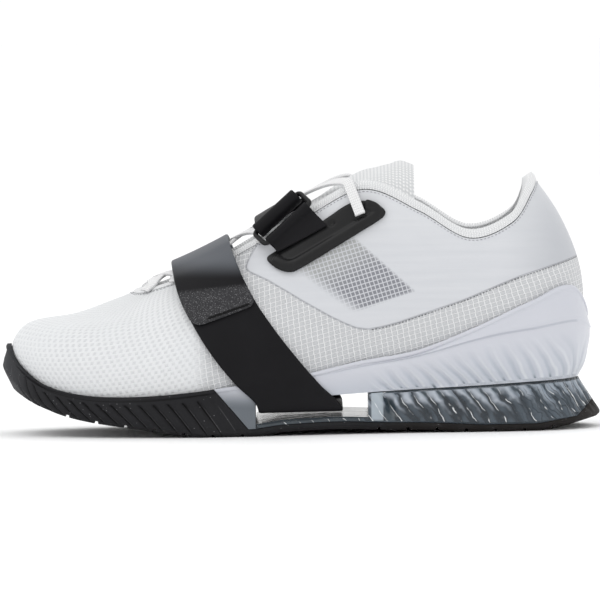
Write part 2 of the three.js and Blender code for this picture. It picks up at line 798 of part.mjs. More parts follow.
// The whole shoe grown by a distance, with a crowned bridge over the throat. lift raises its bottom.
function coverForm(distance, lift) {
  const sides = stations.map(soleSide);
  const grown = (level) => stations.map((s, i) => sides[i][level].clone().addScaledVector(outward(s), distance));
  const bottom = grown(3);
  bottom.forEach((point, i) => {
    point.z = Math.min(heelLift * strapLevel + lift, sides[i][4].z - 1);
  });
  const rim = sides[0].length - 1;
  const rings = [bottom, grown(4), grown(5), grown(8), grown(rim - 1), grown(rim)];
  const rows = 7;
  for (let r = 1; r <= rows; r += 1) {
    rings.push(stations.map((s) => {
      const share = mix(rimShare(s) + 0.02, 1, r / rows);
      const overLip = cupLip * 0.6 * (1 - ease((r - 1) / 2));
      return offSkin(s, share, distance + overLip + laceRoom * ease((share - 0.66) / 0.2));
    }));
  }
  const bridge = (a, b, t, i) => {
    const point = a.clone().lerp(b, t);
    const crown = tongueCrown(stations[i]) + laceThickness;
    point.z += crown * (1 - Math.abs(2 * t - 1) ** 2.4);
    return point;
  };
  return solidOf(blockSolid(rings, bridge, 5));
}

// The upper's skin grown by a distance, closed above and below
function skinForm(distance) {
  const rows = 6;
  const rings = [];
  for (let r = 0; r <= rows; r += 1) {
    rings.push(stations.map((s) => offSkin(s, mix(0.45, bindingShare(s), r / rows), distance)));
  }
  return solidOf(blockSolid(rings));
}

const layer = (form, inner, outer) => form(outer).subtract(form(inner));
const sidePoints = (rows) => rows.map((row) => [alongX(row.along), collarHeight * row.up]);

// Edges of the midfoot strap in side view, from the slot to above the instep: shares of the length
// from the toe and of the collar height
const strapEdges = table(
  ['frontAlong', 'frontUp', 'backAlong', 'backUp'],
  [
    [0.428, 0.06, 0.57, 0.06],
    [0.428, 0.107, 0.568, 0.107],
    [0.393, 0.202, 0.534, 0.194],
    [0.357, 0.308, 0.497, 0.298],
    [0.318, 0.456, 0.455, 0.429],
    [0.295, 0.571, 0.426, 0.532],
    [0.284, 0.683, 0.393, 0.69],
    [0.272, 0.833, 0.372, 0.833],
  ],
);

const strapOutline = [
  ...strapEdges.map((row) => [alongX(row.frontAlong), collarHeight * row.frontUp]),
  ...strapEdges.map((row) => [alongX(row.backAlong), collarHeight * row.backUp]).reverse(),
];

const tabOutline = sidePoints(table(
  ['along', 'up'],
  [
    [0.272, 0.833],
    [0.283, 0.667],
    [0.328, 0.464],
    [0.335, 0.441],
    [0.344, 0.44],
    [0.421, 0.503],
    [0.428, 0.517],
    [0.426, 0.537],
    [0.384, 0.738],
    [0.372, 0.833],
  ],
));

// The second strap layer goes down the medial side to this row of the strap's edges
const tabMedialRow = 3;
const tabMedialOutline = [
  ...strapEdges.slice(tabMedialRow).map((row) => [alongX(row.frontAlong), collarHeight * row.frontUp]),
  ...strapEdges.slice(tabMedialRow).map((row) => [alongX(row.backAlong), collarHeight * row.backUp]).reverse(),
];

function midfootStrap() {
  const band = coverForm(strapGap + strapThickness, 0).subtract(coverForm(strapGap, strapThickness));
  return geometryOf(band.intersect(sideBlock(strapOutline, -farY, farY)));
}

function midfootTab() {
  const under = strapGap + strapThickness + fitGap;
  const sheet = coverForm(under + strapThickness, 0).subtract(coverForm(under, -beyond));
  const cut = sideBlock(tabOutline, -farY, 0).add(sideBlock(tabMedialOutline, 0, farY));
  return geometryOf(sheet.intersect(cut));
}

// Eyestay plates on both sides, with a raised rim along the lower edge
const plateThickness = 1.6;
const plateGap = 0.5;               // clearance of the plates and their overlays on the upper
const plateRim = 1.3;
const plateOutline = sidePoints(table(
  ['along', 'up'],
  [
    [0.446, 0.694],
    [0.457, 0.664],
    [0.479, 0.641],
    [0.493, 0.645],
    [0.598, 0.793],
    [0.64, 0.85],
    [0.643, 0.876],
    [0.628, 0.906],
    [0.612, 0.914],
    [0.58, 0.897],
    [0.553, 0.852],
    [0.5, 0.77],
    [0.466, 0.725],
  ],
));
const plateRimOutline = sidePoints(table(
  ['along', 'up'],
  [
    [0.446, 0.694],
    [0.457, 0.664],
    [0.479, 0.641],
    [0.493, 0.645],
    [0.598, 0.793],
    [0.64, 0.85],
    [0.643, 0.876],
    [0.628, 0.906],
    [0.612, 0.914],
    [0.61, 0.9],
    [0.619, 0.874],
    [0.612, 0.855],
    [0.57, 0.808],
    [0.482, 0.694],
    [0.466, 0.705],
  ],
));
const laceSlot = sidePoints(table(
  ['along', 'up'],
  [
    [0.592, 0.862],
    [0.604, 0.856],
    [0.607, 0.876],
    [0.595, 0.884],
  ],
));

function eyestayPlate(side) {
  const [fromY, toY] = side < 0 ? [-farY, 0] : [0, farY];
  const base = layer(skinForm, plateGap, plateGap + plateThickness)
    .intersect(sideBlock(plateOutline, fromY, toY, [laceSlot]));
  const rim = layer(skinForm, plateGap + plateThickness / 2, plateGap + plateThickness + plateRim)
    .intersect(sideBlock(plateRimOutline, fromY, toY));
  return geometryOf(base.add(rim));
}

// Ankle strap: an anchor over the lateral plate, a ring, and the strap that rolls over the ring
const anchorOutline = sidePoints(table(
  ['along', 'up'],
  [
    [0.468, 0.765],
    [0.484, 0.71],
    [0.56, 0.815],
    [0.53, 0.885],
  ],
));

function ankleAnchor() {
  const under = plateGap + plateThickness + fitGap;
  return geometryOf(layer(skinForm, under, under + strapThickness).intersect(sideBlock(anchorOutline, -farY, 0)));
}

// The ring lies over the binding. Its long axis runs along the top edge, turned in the skin's plane.
const ring = { station: 6.62, share: 0.95, lift: 7.4, turn: 0.32, length: 33, width: 13, bar: 2.5, corner: 2.6 };
const rollRoom = 0.6;               // clearance between the roll's ends and the ring
const barRoom = 0.35;               // clearance between the ring's bar and what is rolled over it
const roll = { length: ring.length - 2 * (ring.bar + rollRoom), height: 9.4, width: 8.4 };

// Axes at the ring: x along it, y down the lateral side, z away from the shoe
function ringFrame() {
  const step = 0.2;
  const away = skinNormal(ring.station, ring.share);
  const along = skin(ring.station + step, 1).sub(skin(ring.station - step, 1));
  along.addScaledVector(away, -along.dot(away)).normalize().applyAxisAngle(away, ring.turn);
  const down = along.clone().cross(away);
  const frame = new THREE.Matrix4().makeBasis(along, down, along.clone().cross(down));
  return frame.setPosition(offSkin(ring.station, ring.share, ring.lift));
}

function roundedPath(path, length, width, corner) {
  const x = length / 2;
  const y = width / 2;
  path.moveTo(-x + corner, -y);
  path.lineTo(x - corner, -y);
  path.absarc(x - corner, -y + corner, corner, -Math.PI / 2, 0);
  path.lineTo(x, y - corner);
  path.absarc(x - corner, y - corner, corner, 0, Math.PI / 2);
  path.lineTo(-x + corner, y);
  path.absarc(-x + corner, y - corner, corner, Math.PI / 2, Math.PI);
  path.lineTo(-x, -y + corner);
  path.absarc(-x + corner, -y + corner, corner, Math.PI, 1.5 * Math.PI);
  return path;
}

function ringGeometry() {
  const { length, width, bar, corner } = ring;
  const shape = roundedPath(new THREE.Shape(), length, width, corner);
  shape.holes.push(roundedPath(new THREE.Path(), length - 2 * bar, width - 2 * bar, corner / 4));
  const geometry = new THREE.ExtrudeGeometry(shape, { depth: bar, bevelEnabled: false, curveSegments: 3 });
  geometry.translate(0, 0, -bar / 2);
  return geometryOf(solidOf(geometry.applyMatrix4(ringFrame())));
}

// Strap rolled over the ring's upper bar: a rounded bar of strap with a bore for it
function rollGeometry() {
  const shape = roundedPath(new THREE.Shape(), roll.width, roll.height, roll.width * 0.45);
  const bore = ring.bar + 2 * barRoom;
  shape.holes.push(roundedPath(new THREE.Path(), bore, bore, bore * 0.2));
  const geometry = new THREE.ExtrudeGeometry(shape, { depth: roll.length, bevelEnabled: false, curveSegments: 4 });
  geometry.translate(0, 0, -roll.length / 2);
  const stand = new THREE.Matrix4().makeBasis(
    new THREE.Vector3(0, 1, 0),
    new THREE.Vector3(0, 0, 1),
    new THREE.Vector3(1, 0, 0),
  );
  geometry.applyMatrix4(stand.setPosition(0, -(ring.width - ring.bar) / 2, 0));
  return geometryOf(solidOf(geometry.applyMatrix4(ringFrame())));
}

// Ankle strap across the instep, from the roll to the medial plate
const ankleStrapOutline = sidePoints(table(
  ['along', 'up'],
  [
    [0.484, 0.715],
    [0.468, 0.765],
    [0.426, 0.817],
    [0.42, 1.03],
    [0.5, 1.03],
    [0.5, 0.94],
    [0.53, 0.885],
    [0.56, 0.82],
  ],
));

function ankleStrap() {
  const under = plateGap + plateThickness + fitGap;
  const sheet = coverForm(under + strapThickness, 0).subtract(coverForm(under, -beyond));
  return geometryOf(sheet.intersect(sideBlock(ankleStrapOutline, -ballWidth * 0.21, farY)));
}

// Lace: a straight bar at the front and crossings up the throat, joined where they meet.
// eyeShare is where its ends lie on the wall's profile.
const laceStations = [2.7, 3.8, 4.9, 6.1, 7.55];
const eyeShare = 0.92;
const laceAcross = [-1, -0.5, 0.5, 1];
const laceArch = 1.25;              // the lace's arch as a share of the tongue's crown under it

function laceBar(fromStation, toStation) {
  const station = (w) => mix(fromStation, toStation, (w + 1) / 2);
  const far = (s) => fullTurn - s;
  const points = [offSkin(fromStation, eyeShare, laceRise)];
  for (const w of laceAcross) {
    const s = station(w);
    points.push(overThroat(s, w, laceRise, laceArch * tongueCrown(s) + laceGap));
  }
  points.push(offSkin(far(toStation), eyeShare, laceRise));
  const last = points.length - 1;
  const rings = points.map((point, i) => {
    const along = points[Math.min(i + 1, last)].clone().sub(points[Math.max(i - 1, 0)]).normalize();
    const edge = topEdge(station(0) + 0.2).sub(topEdge(station(0) - 0.2));
    edge.y = 0;
    const across = edge.addScaledVector(along, -edge.dot(along)).normalize();
    const away = along.clone().cross(across).normalize();
    if (away.z < 0) away.negate();
    const corner = (side, height) => point.clone()
      .addScaledVector(across, (side * laceWidth) / 2)
      .addScaledVector(away, height * laceThickness);
    return [corner(-1, 0), corner(1, 0), corner(1, 1), corner(-1, 1)];
  });
  return solidOf(blockSolid(rings));
}

function laceGeometry() {
  const bars = [laceBar(laceStations[0], laceStations[0])];
  for (let i = 1; i < laceStations.length; i += 1) {
    bars.push(laceBar(laceStations[i - 1], laceStations[i]));
    bars.push(laceBar(laceStations[i], laceStations[i - 1]));
  }
  return geometryOf(joined(bars));
}

const group = new THREE.Group();
function add(name, geometry, color, roughness, metalness = 0) {
  const mesh = new THREE.Mesh(geometry, new THREE.MeshStandardMaterial({ color, roughness, metalness }));
  mesh.name = name;
  group.add(mesh);
}

const sole = soleForm().subtract(joined([...sideGrooves(), ...treadCuts()]));
const soleCut = (outline) => geometryOf(sole.intersect(sideBlock(outline, -farY, farY)));

add('outsole', soleCut(rubberOutline()), 0x2b2b2e, 0.75);
add('heel_wedge', soleCut(wedgeOutline()), 0x8ea0ac, 0.15);
add('chassis', soleCut(chassisOutline()), 0xc9ccd4, 0.4);
add('upper', upperGeometry(), 0xe6e7e8, 0.8);
add('collar_binding', bindingGeometry(), 0xeeeeee, 0.9);
add('insole', insoleGeometry(), 0xdedfe0, 0.9);
add('tongue', tongueGeometry(), 0xf0f0f0, 0.9);
add('midfoot_strap', midfootStrap(), 0x17161a, 0.6);
add('midfoot_tab', midfootTab(), 0x17161a, 0.6);
add('eyestay_lateral', eyestayPlate(-1), 0x1b1b1e, 0.45);
add('eyestay_medial', eyestayPlate(1), 0x1b1b1e, 0.45);
add('ankle_anchor', ankleAnchor(), 0x17161a, 0.6);
add('ankle_ring', ringGeometry(), 0x1b1b1e, 0.35);
add('ankle_roll', rollGeometry(), 0x17161a, 0.6);
add('ankle_strap', ankleStrap(), 0x17161a, 0.6);
add('lace', laceGeometry(), 0xf2f2f2, 0.85);

export default group;
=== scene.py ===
import math
import bmesh
import bpy
import numpy as np
from mathutils import Matrix, Vector
from mathutils.bvhtree import BVHTree


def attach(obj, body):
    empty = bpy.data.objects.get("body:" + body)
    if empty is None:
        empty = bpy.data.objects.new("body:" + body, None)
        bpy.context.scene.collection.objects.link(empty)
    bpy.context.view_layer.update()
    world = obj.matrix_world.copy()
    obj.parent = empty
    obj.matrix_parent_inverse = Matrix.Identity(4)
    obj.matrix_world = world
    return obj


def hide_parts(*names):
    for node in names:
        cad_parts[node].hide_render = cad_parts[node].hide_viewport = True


# A left weightlifting shoe, toe towards -X and lateral side towards -Y. Sizes are in millimetres
# until a mesh is made, and the forms repeat the part's own tables.

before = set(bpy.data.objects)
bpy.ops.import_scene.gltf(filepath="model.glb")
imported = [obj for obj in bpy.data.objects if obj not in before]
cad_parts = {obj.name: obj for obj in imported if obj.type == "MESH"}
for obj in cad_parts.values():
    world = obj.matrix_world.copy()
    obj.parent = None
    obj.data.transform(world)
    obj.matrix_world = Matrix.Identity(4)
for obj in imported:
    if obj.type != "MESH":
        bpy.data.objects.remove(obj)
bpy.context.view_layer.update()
mm = 0.001
scene = bpy.context.scene


# Camera, light and floor

cameraSettings = {"distance": 6500, "elevation": 3.0, "roll": -0.88, "aim": (0.0, -38.0, 67.0), "widthSeen": 298.4}


def makeCamera(settings):
    data = bpy.data.cameras.new("camera")
    data.sensor_width = 36
    data.lens = data.sensor_width * settings["distance"] / settings["widthSeen"]
    data.clip_end = 20
    camera = bpy.data.objects.new("camera", data)
    scene.collection.objects.link(camera)
    lift = math.radians(settings["elevation"])
    place = Vector(settings["aim"]) + settings["distance"] * Vector((0, -math.cos(lift), math.sin(lift)))
    turn = Matrix.Rotation(math.pi / 2 - lift, 4, "X") @ Matrix.Rotation(math.radians(settings["roll"]), 4, "Z")
    camera.matrix_world = Matrix.Translation(place * mm) @ turn
    scene.camera = camera
    bpy.context.scene.camera = camera


makeCamera(cameraSettings)
print("camera")


# Shader expressions: a wrapped socket that does maths, and a material that makes nodes

class Wire:
    def __init__(self, look, socket):
        self.look = look
        self.socket = socket

    def join(self, operation, *others):
        values = {i: other for i, other in enumerate((self, *others))}
        return self.look.wire("ShaderNodeMath", {"operation": operation}, values)

    def swap(self, operation, other):
        return self.look.wire("ShaderNodeMath", {"operation": operation}, {0: other, 1: self})

    def __add__(self, other): return self.join("ADD", other)
    def __radd__(self, other): return self.join("ADD", other)
    def __sub__(self, other): return self.join("SUBTRACT", other)
    def __rsub__(self, other): return self.swap("SUBTRACT", other)
    def __mul__(self, other): return self.join("MULTIPLY", other)
    def __rmul__(self, other): return self.join("MULTIPLY", other)
    def __truediv__(self, other): return self.join("DIVIDE", other)
    def __rtruediv__(self, other): return self.swap("DIVIDE", other)
    def __neg__(self): return self.join("MULTIPLY", -1.0)
    def __abs__(self): return self.join("ABSOLUTE")
    def __pow__(self, other): return self.join("POWER", other)

    def most(self, other): return self.join("MAXIMUM", other)
    def least(self, other): return self.join("MINIMUM", other)
    def over(self, other): return self.join("GREATER_THAN", other)
    def fract(self): return self.join("FRACT")
    def floor(self): return self.join("FLOOR")
    def sine(self): return self.join("SINE")

    def soft(self, low, high):  # 0 at low, 1 at high, eased between
        settings = {"interpolation_type": "SMOOTHSTEP"}
        return self.look.wire("ShaderNodeMapRange", settings, {0: self, 1: low, 2: high, 3: 0.0, 4: 1.0})


class Look:
    def __init__(self, name):
        self.material = bpy.data.materials.new(name)
        self.material.use_nodes = True
        self.tree = self.material.node_tree
        self.tree.nodes.clear()

    def node(self, kind, settings=None, inputs=None):
        made = self.tree.nodes.new(kind)
        for key, value in (settings or {}).items():
            if key == "stops":
                while len(made.color_ramp.elements) < len(value):
                    made.color_ramp.elements.new(0.5)
                for element, (position, color) in zip(made.color_ramp.elements, value):
                    element.position = position
                    element.color = (*color, 1)
            else:
                setattr(made, key, value)
        for key, value in (inputs or {}).items():
            socket = made.inputs[key]
            if isinstance(value, Wire):
                value = value.socket
            if isinstance(value, bpy.types.NodeSocket):
                self.tree.links.new(value, socket)
            else:
                socket.default_value = value
        return made

    def wire(self, kind, settings=None, inputs=None, output=0):
        return Wire(self, self.node(kind, settings, inputs).outputs[output])

    def place(self):  # object coordinates in millimetres
        coordinates = self.node("ShaderNodeTexCoord").outputs["Object"]
        scaled = self.node("ShaderNodeVectorMath", {"operation": "SCALE"}, {0: coordinates, "Scale": 1 / mm})
        parts = self.node("ShaderNodeSeparateXYZ", None, {0: scaled.outputs[0]})
        return scaled.outputs[0], *(Wire(self, parts.outputs[i]) for i in range(3))

    def uv(self):  # the piece's own map, in millimetres along and across
        vector = self.node("ShaderNodeUVMap", {"uv_map": "map"}).outputs[0]
        parts = self.node("ShaderNodeSeparateXYZ", None, {0: vector})
        return vector, Wire(self, parts.outputs[0]), Wire(self, parts.outputs[1])

    def mark(self, name):
        return self.wire("ShaderNodeAttribute", {"attribute_name": name}, None, "Fac")

    def noise(self, vector, scale, detail=2.0, roughness=0.5):
        inputs = {"Vector": vector, "Scale": scale, "Detail": detail, "Roughness": roughness}
        return self.wire("ShaderNodeTexNoise", None, inputs, "Fac")

    def blend(self, factor, a, b):
        color = lambda c: (*c, 1) if isinstance(c, tuple) and len(c) == 3 else c
        inputs = {0: factor, 6: color(a), 7: color(b)}
        return self.node("ShaderNodeMix", {"data_type": "RGBA"}, inputs).outputs[2]

    def finish(self, color, roughness, height=None, bump=0.3, **constants):
        inputs = {"Base Color": (*color, 1) if isinstance(color, tuple) else color, "Roughness": roughness}
        inputs.update({key: value for key, value in constants.items()})
        if height is not None:
            raised = self.node("ShaderNodeBump", None, {"Strength": bump, "Distance": mm, "Height": height})
            inputs["Normal"] = raised.outputs[0]
        shader = self.node("ShaderNodeBsdfPrincipled", None, inputs)
        self.node("ShaderNodeOutputMaterial", None, {"Surface": shader.outputs[0]})
        return self.material


def addFloor():
    look = Look("floorPale")
    floor = look.finish((0.965, 0.967, 0.97), 0.8)
    size = 6.0
    mesh = bpy.data.meshes.new("floor")
    mesh.from_pydata([(-size, -size, 0), (size, -size, 0), (size, size, 0), (-size, size, 0)], [], [(0, 1, 2, 3)])
    mesh.materials.append(floor)
    piece = bpy.data.objects.new("floor", mesh)
    scene.collection.objects.link(piece)


lightSettings = [
    {"name": "key", "place": (-0.9, -0.7, 1.9), "size": 1.4, "power": 7},
    {"name": "fill", "place": (1.6, -1.2, 0.8), "size": 1.8, "power": 1.5},
    {"name": "back", "place": (0.3, 1.4, 1.5), "size": 1.6, "power": 4},
]


def addLights():
    for settings in lightSettings:
        data = bpy.data.lights.new(settings["name"], "AREA")
        data.size = settings["size"]
        data.energy = settings["power"]
        light = bpy.data.objects.new(settings["name"], data)
        light.location = settings["place"]
        aim = Vector((0, 0, 0.06)) - Vector(settings["place"])
        light.rotation_euler = aim.to_track_quat("-Z", "Y").to_euler()
        scene.collection.objects.link(light)
    world = bpy.data.worlds.new("studio")
    world.use_nodes = True
    world.node_tree.nodes["Background"].inputs[0].default_value = (1, 1, 1, 1)
    world.node_tree.nodes["Background"].inputs[1].default_value = 1.04
    scene.world = world
    scene.view_settings.view_transform = "Standard"


addFloor()
addLights()
print("floor and light")


# Main sizes and tables, as in the part's source

size = {
    "length": 298, "ball": 100, "collar": 126, "heel": 40, "cup": 72, "spring": 25, "arch": 2.7, "flare": 10,
    "wall": 2.2, "padding": 2.4, "lip": 2.1, "fitGap": 0.3, "cupGap": 0.55, "tongueGap": 0.8,
    "outsole": 3.6, "flange": 2.4, "insole": 4, "tongue": 4, "binding": 5.2, "bindingGap": 0.5,
    "bindingSwell": 0.9, "strap": 1.6, "strapGap": 0.5, "lace": 1.2, "laceWidth": 5.4, "laceGap": 0.45,
    "plate": 1.6, "plateGap": 0.5, "strapLevel": 0.29, "bead": 2.2, "beadSwell": 0.5,
}


def table(columns, rows):
    return {name: np.array([row[i] for row in rows], float) for i, name in enumerate(columns.split())}


upperSections = table(
    "footAlong footLateral footMedial footLift topAlong topLateral topMedial topLift rim waist",
    [
        [0.027, 0.06, 0.06, 0.675, 0.235, 0.03, 0.03, 0.571, 0.628, 0.95],
        [0.04, -0.09, 0.21, 0.64, 0.237, -0.03, 0.09, 0.571, 0.49, 0.775],
        [0.077, -0.26, 0.33, 0.54, 0.245, -0.09, 0.145, 0.573, 0.36, 0.51],
        [0.141, -0.38, 0.41, 0.425, 0.265, -0.13, 0.18, 0.587, 0.295, 0.375],
        [0.225, -0.465, 0.465, 0.34, 0.312, -0.16, 0.2, 0.627, 0.286, 0.325],
        [0.315, -0.505, 0.475, 0.325, 0.366, -0.18, 0.215, 0.687, 0.314, 0.325],
        [0.406, -0.49, 0.43, 0.4, 0.433, -0.21, 0.23, 0.778, 0.364, 0.375],
        [0.5, -0.44, 0.37, 0.55, 0.517, -0.25, 0.255, 0.893, 0.42, 0.46],
        [0.594, -0.39, 0.33, 0.66, 0.611, -0.29, 0.285, 1, 0.504, 0.51],
        [0.695, -0.36, 0.32, 0.79, 0.701, -0.31, 0.3, 0.913, 0.576, 0.545],
        [0.795, -0.355, 0.33, 0.9, 0.782, -0.31, 0.295, 0.802, 0.733, 0.575],
        [0.883, -0.33, 0.315, 0.975, 0.852, -0.27, 0.26, 0.857, 0.9, 0.61],
        [0.94, -0.22, 0.215, 1, 0.881, -0.15, 0.145, 0.964, 0.997, 0.625],
        [0.963, 0, 0, 1.01, 0.889, 0, 0, 1.012, 0.79, 0.63],
    ],
)
swellSections = table(
    "wallOut wallUp shoulderOut shoulderUp crownOut crownUp step",
    [
        [0.033, 0.4, 0.074, 0.635, 0.082, 0.74, 0.8],
        [0.033, 0.38, 0.072, 0.62, 0.07, 0.74, 0.8],
        [0.03, 0.36, 0.064, 0.61, 0.06, 0.75, 0.8],
        [0.025, 0.34, 0.045, 0.6, 0.063, 0.77, 0.8],
        [0.022, 0.3, 0.04, 0.56, 0.06, 0.8, 0.8],
        [0.022, 0.27, 0.043, 0.52, 0.065, 0.8, 0.8],
        [0.019, 0.24, 0.035, 0.48, 0.052, 0.79, 0.8],
        [0.02, 0.2, 0.035, 0.44, 0.035, 0.78, 0.8],
        [0.028, 0.2, 0.039, 0.44, 0.022, 0.78, 0.82],
        [0.03, 0.22, 0.035, 0.45, 0.025, 0.78, 0.84],
        [0.032, 0.25, 0.038, 0.48, 0.022, 0.78, 0.78],
        [0.033, 0.27, 0.04, 0.5, 0.025, 0.78, 0.66],
        [0.035, 0.27, 0.05, 0.52, 0.05, 0.8, 0.62],
        [0.037, 0.25, 0.059, 0.49, 0.052, 0.76, 0.75],
    ],
)
swellPlaces = {"wall": 0, "shoulder": 0.2, "crown": 0.6}
lowerSole = table(
    "toeOut toeUp ballOut ballUp archOut archUp heelOut heelUp backOut backUp",
    [
        [-0.5, 0, 0.05, 0, 0.15, 0, 0.35, 0, 0.3, 0],
        [0.35, 0.28, 0.32, 0.2, 0.4, 0.12, 0.62, 0.1, 0.98, 0.09],
        [0.8, 0.75, 0.42, 0.55, 0.42, 0.25, 0.66, 0.2, 1.1, 0.21],
        [0.8, 0.9, 0.42, 0.8, 0.36, 0.6, 0.36, 0.6, 0.62, 0.58],
        [0.76, 1, 0.42, 1, 0.3, 1, 0.12, 1, 0.04, 1],
    ],
)
upperSole = table(
    "toeOut ballOut archOut heelOut backOut up",
    [
        [0.7, 0.41, 0.32, 0.36, 0.42, 0.3],
        [0.62, 0.39, 0.36, 0.54, 0.66, 0.75],
        [0.58, 0.37, 0.36, 0.54, 0.68, 0.98],
        [0.58, 0.37, 0.36, 0.62, 0.74, 1.02],
    ],
)
soleKinds = ["toe", "ball", "arch", "heel", "back"]
soleKindPlaces = [0, 3.5, 7, 10.5, 13]
treadLine = table(
    "along toe arch",
    [
        [0, 1, 0], [0.044, 0.7, 0], [0.097, 0.44, 0], [0.141, 0.316, 0], [0.191, 0.224, 0], [0.245, 0.136, 0],
        [0.295, 0.056, 0], [0.339, 0, 0], [0.413, 0, 0], [0.473, 0, 0.74], [0.56, 0, 1], [0.634, 0, 0.7],
        [0.701, 0, 0.55], [0.762, 0, 0.26], [0.809, 0, 0], [0.886, 0, 0], [0.93, 0, 0.6], [1, 0, 1.7],
    ],
)
tongueRows = table(
    "station edge crown",
    [
        [0.7, 0.93, 0.004], [2, 0.91, 0.012], [3, 0.89, 0.02], [4, 0.87, 0.026], [5, 0.86, 0.03],
        [6, 0.85, 0.03], [7, 0.84, 0.028], [7.6, 0.84, 0.03], [8.1, 0.83, 0.045], [8.45, 0.82, 0.085],
        [8.7, 0.82, 0.13], [8.95, 0.82, 0.15],
    ],
)
strapEdges = table(
    "frontAlong frontUp backAlong backUp",
    [
        [0.428, 0.06, 0.57, 0.06], [0.428, 0.107, 0.568, 0.107], [0.393, 0.202, 0.534, 0.194],
        [0.357, 0.308, 0.497, 0.298], [0.318, 0.456, 0.455, 0.429], [0.295, 0.571, 0.426, 0.532],
        [0.284, 0.683, 0.393, 0.69], [0.272, 0.833, 0.372, 0.833],
    ],
)
heelStation = 13
fullTurn = 26


# Curves through the tables, for many stations at once

def ease(t):
    s = np.clip(t, 0, 1)
    return s * s * (3 - 2 * s)


def mix(a, b, t):
    return a + (b - a) * t


def alongX(share):
    return (np.asarray(share, float) - 0.5) * size["length"]


def levelCurve(xs, ys, x):
    xs, ys = np.asarray(xs, float), np.asarray(ys, float)
    at = np.clip(np.asarray(x, float), xs[0], xs[-1])
    slopes = np.diff(ys) / np.diff(xs)
    tangents = np.empty_like(xs)
    tangents[0], tangents[-1] = slopes[0], slopes[-1]
    product = slopes[:-1] * slopes[1:]
    total = slopes[:-1] + slopes[1:]
    tangents[1:-1] = np.where(product <= 0, 0, 2 * product / np.where(total == 0, 1, total))
    i = np.clip(np.searchsorted(xs, at, side="right") - 1, 0, len(xs) - 2)
    span = xs[i + 1] - xs[i]
    t = (at - xs[i]) / span
    return ((2 * t**3 - 3 * t**2 + 1) * ys[i] + (t**3 - 2 * t**2 + t) * span * tangents[i]
            + (3 * t**2 - 2 * t**3) * ys[i + 1] + (t**3 - t**2) * span * tangents[i + 1])


treadXs = alongX(treadLine["along"])
treadZs = treadLine["toe"] * size["spring"] + treadLine["arch"] * size["arch"]


def treadHeight(x):
    return levelCurve(treadXs, treadZs, x)


def sectionValue(rows, station, lateral, medial=None):
    values = np.concatenate([rows[lateral], rows[medial or lateral][heelStation - 1:0:-1]])
    start = np.floor(station).astype(int)
    a, b, c, d = (values[(start + k) % fullTurn] for k in (-1, 0, 1, 2))
    t = station - start
    return 0.5 * (2 * b + (c - a) * t + (2 * a - 5 * b + 4 * c - d) * t**2 + (3 * b - a - 3 * c + d) * t**3)


def footEdge(station):
    return np.stack([
        alongX(sectionValue(upperSections, station, "footAlong")),
        size["ball"] * sectionValue(upperSections, station, "footLateral", "footMedial"),
        size["heel"] * sectionValue(upperSections, station, "footLift"),
    ], -1)


def topEdge(station):
    return np.stack([
        alongX(sectionValue(upperSections, station, "topAlong")),
        size["ball"] * sectionValue(upperSections, station, "topLateral", "topMedial"),
        size["collar"] * sectionValue(upperSections, station, "topLift"),
    ], -1)


def unit(vectors):
    return vectors / np.maximum(np.linalg.norm(vectors, axis=-1, keepdims=True), 1e-9)


def outward(station):
    step = 0.05
    ahead, behind = footEdge(station + step), footEdge(station - step)
    flat = np.stack([ahead[..., 1] - behind[..., 1], behind[..., 0] - ahead[..., 0], 0 * ahead[..., 0]], -1)
    return unit(flat)


def skin(station, share):
    foot, top, out = footEdge(station), topEdge(station), outward(station)
    knots = [foot]
    for name, place in swellPlaces.items():
        knot = mix(foot, top, place)
        knot = knot + out * (size["ball"] * sectionValue(swellSections, station, name + "Out"))[..., None]
        knot[..., 2] = mix(foot[..., 2], top[..., 2], sectionValue(swellSections, station, name + "Up"))
        knots.append(knot)
    knots = np.stack([*knots, top], -2)
    steps = np.linalg.norm(np.diff(knots, axis=-2), axis=-1)
    lengths = np.concatenate([np.zeros_like(steps[..., :1]), np.cumsum(steps, -1)], -1)
    ahead = np.minimum(np.arange(5) + 1, 4)
    behind = np.maximum(np.arange(5) - 1, 0)
    tangents = (knots[..., ahead, :] - knots[..., behind, :]) / (lengths[..., ahead] - lengths[..., behind])[..., None]
    at = share * lengths[..., 4]
    i = (at > lengths[..., 1]).astype(int) + (at > lengths[..., 2]) + (at > lengths[..., 3])
    take = lambda values, k: np.take_along_axis(values, k[..., None, None].repeat(3, -1), -2)[..., 0, :]
    takeLength = lambda k: np.take_along_axis(lengths, k[..., None], -1)[..., 0]
    span = takeLength(i + 1) - takeLength(i)
    t = ((at - takeLength(i)) / span)[..., None]
    span = span[..., None]
    return ((2 * t**3 - 3 * t**2 + 1) * take(knots, i) + (t**3 - 2 * t**2 + t) * span * take(tangents, i)
            + (3 * t**2 - 2 * t**3) * take(knots, i + 1) + (t**3 - t**2) * span * take(tangents, i + 1))


def skinNormal(station, share):
    step = 0.02
    around = skin(station + step, share) - skin(station - step, share)
    up = skin(station, np.minimum(share + step, 1)) - skin(station, np.maximum(share - step, 0))
    return unit(np.cross(around, up))


def offSkin(station, share, distance):
    station, share, distance = np.broadcast_arrays(station, share, distance)
    return skin(station, share) + skinNormal(station, share) * distance[..., None]


def profileLength(station):
    shares = np.linspace(0, 1, 25)
    points = skin(*np.broadcast_arrays(station[..., None], shares))
    return np.linalg.norm(np.diff(points, axis=-2), axis=-1).sum(-1)


def shareAtHeight(station, height):
    low, high = np.zeros_like(station), np.full_like(station, 0.75)
    for _ in range(22):
        middle = (low + high) / 2
        under = skin(station, middle)[..., 2] < height
        low, high = np.where(under, middle, low), np.where(under, high, middle)
    return (low + high) / 2


def sideOf(station):
    return np.where(station <= heelStation, station, fullTurn - station)


def wallAt(station, share):
    return size["wall"] + size["padding"] * ease((sideOf(station) - 7) / 2) * ease((share - 0.55) / 0.3)


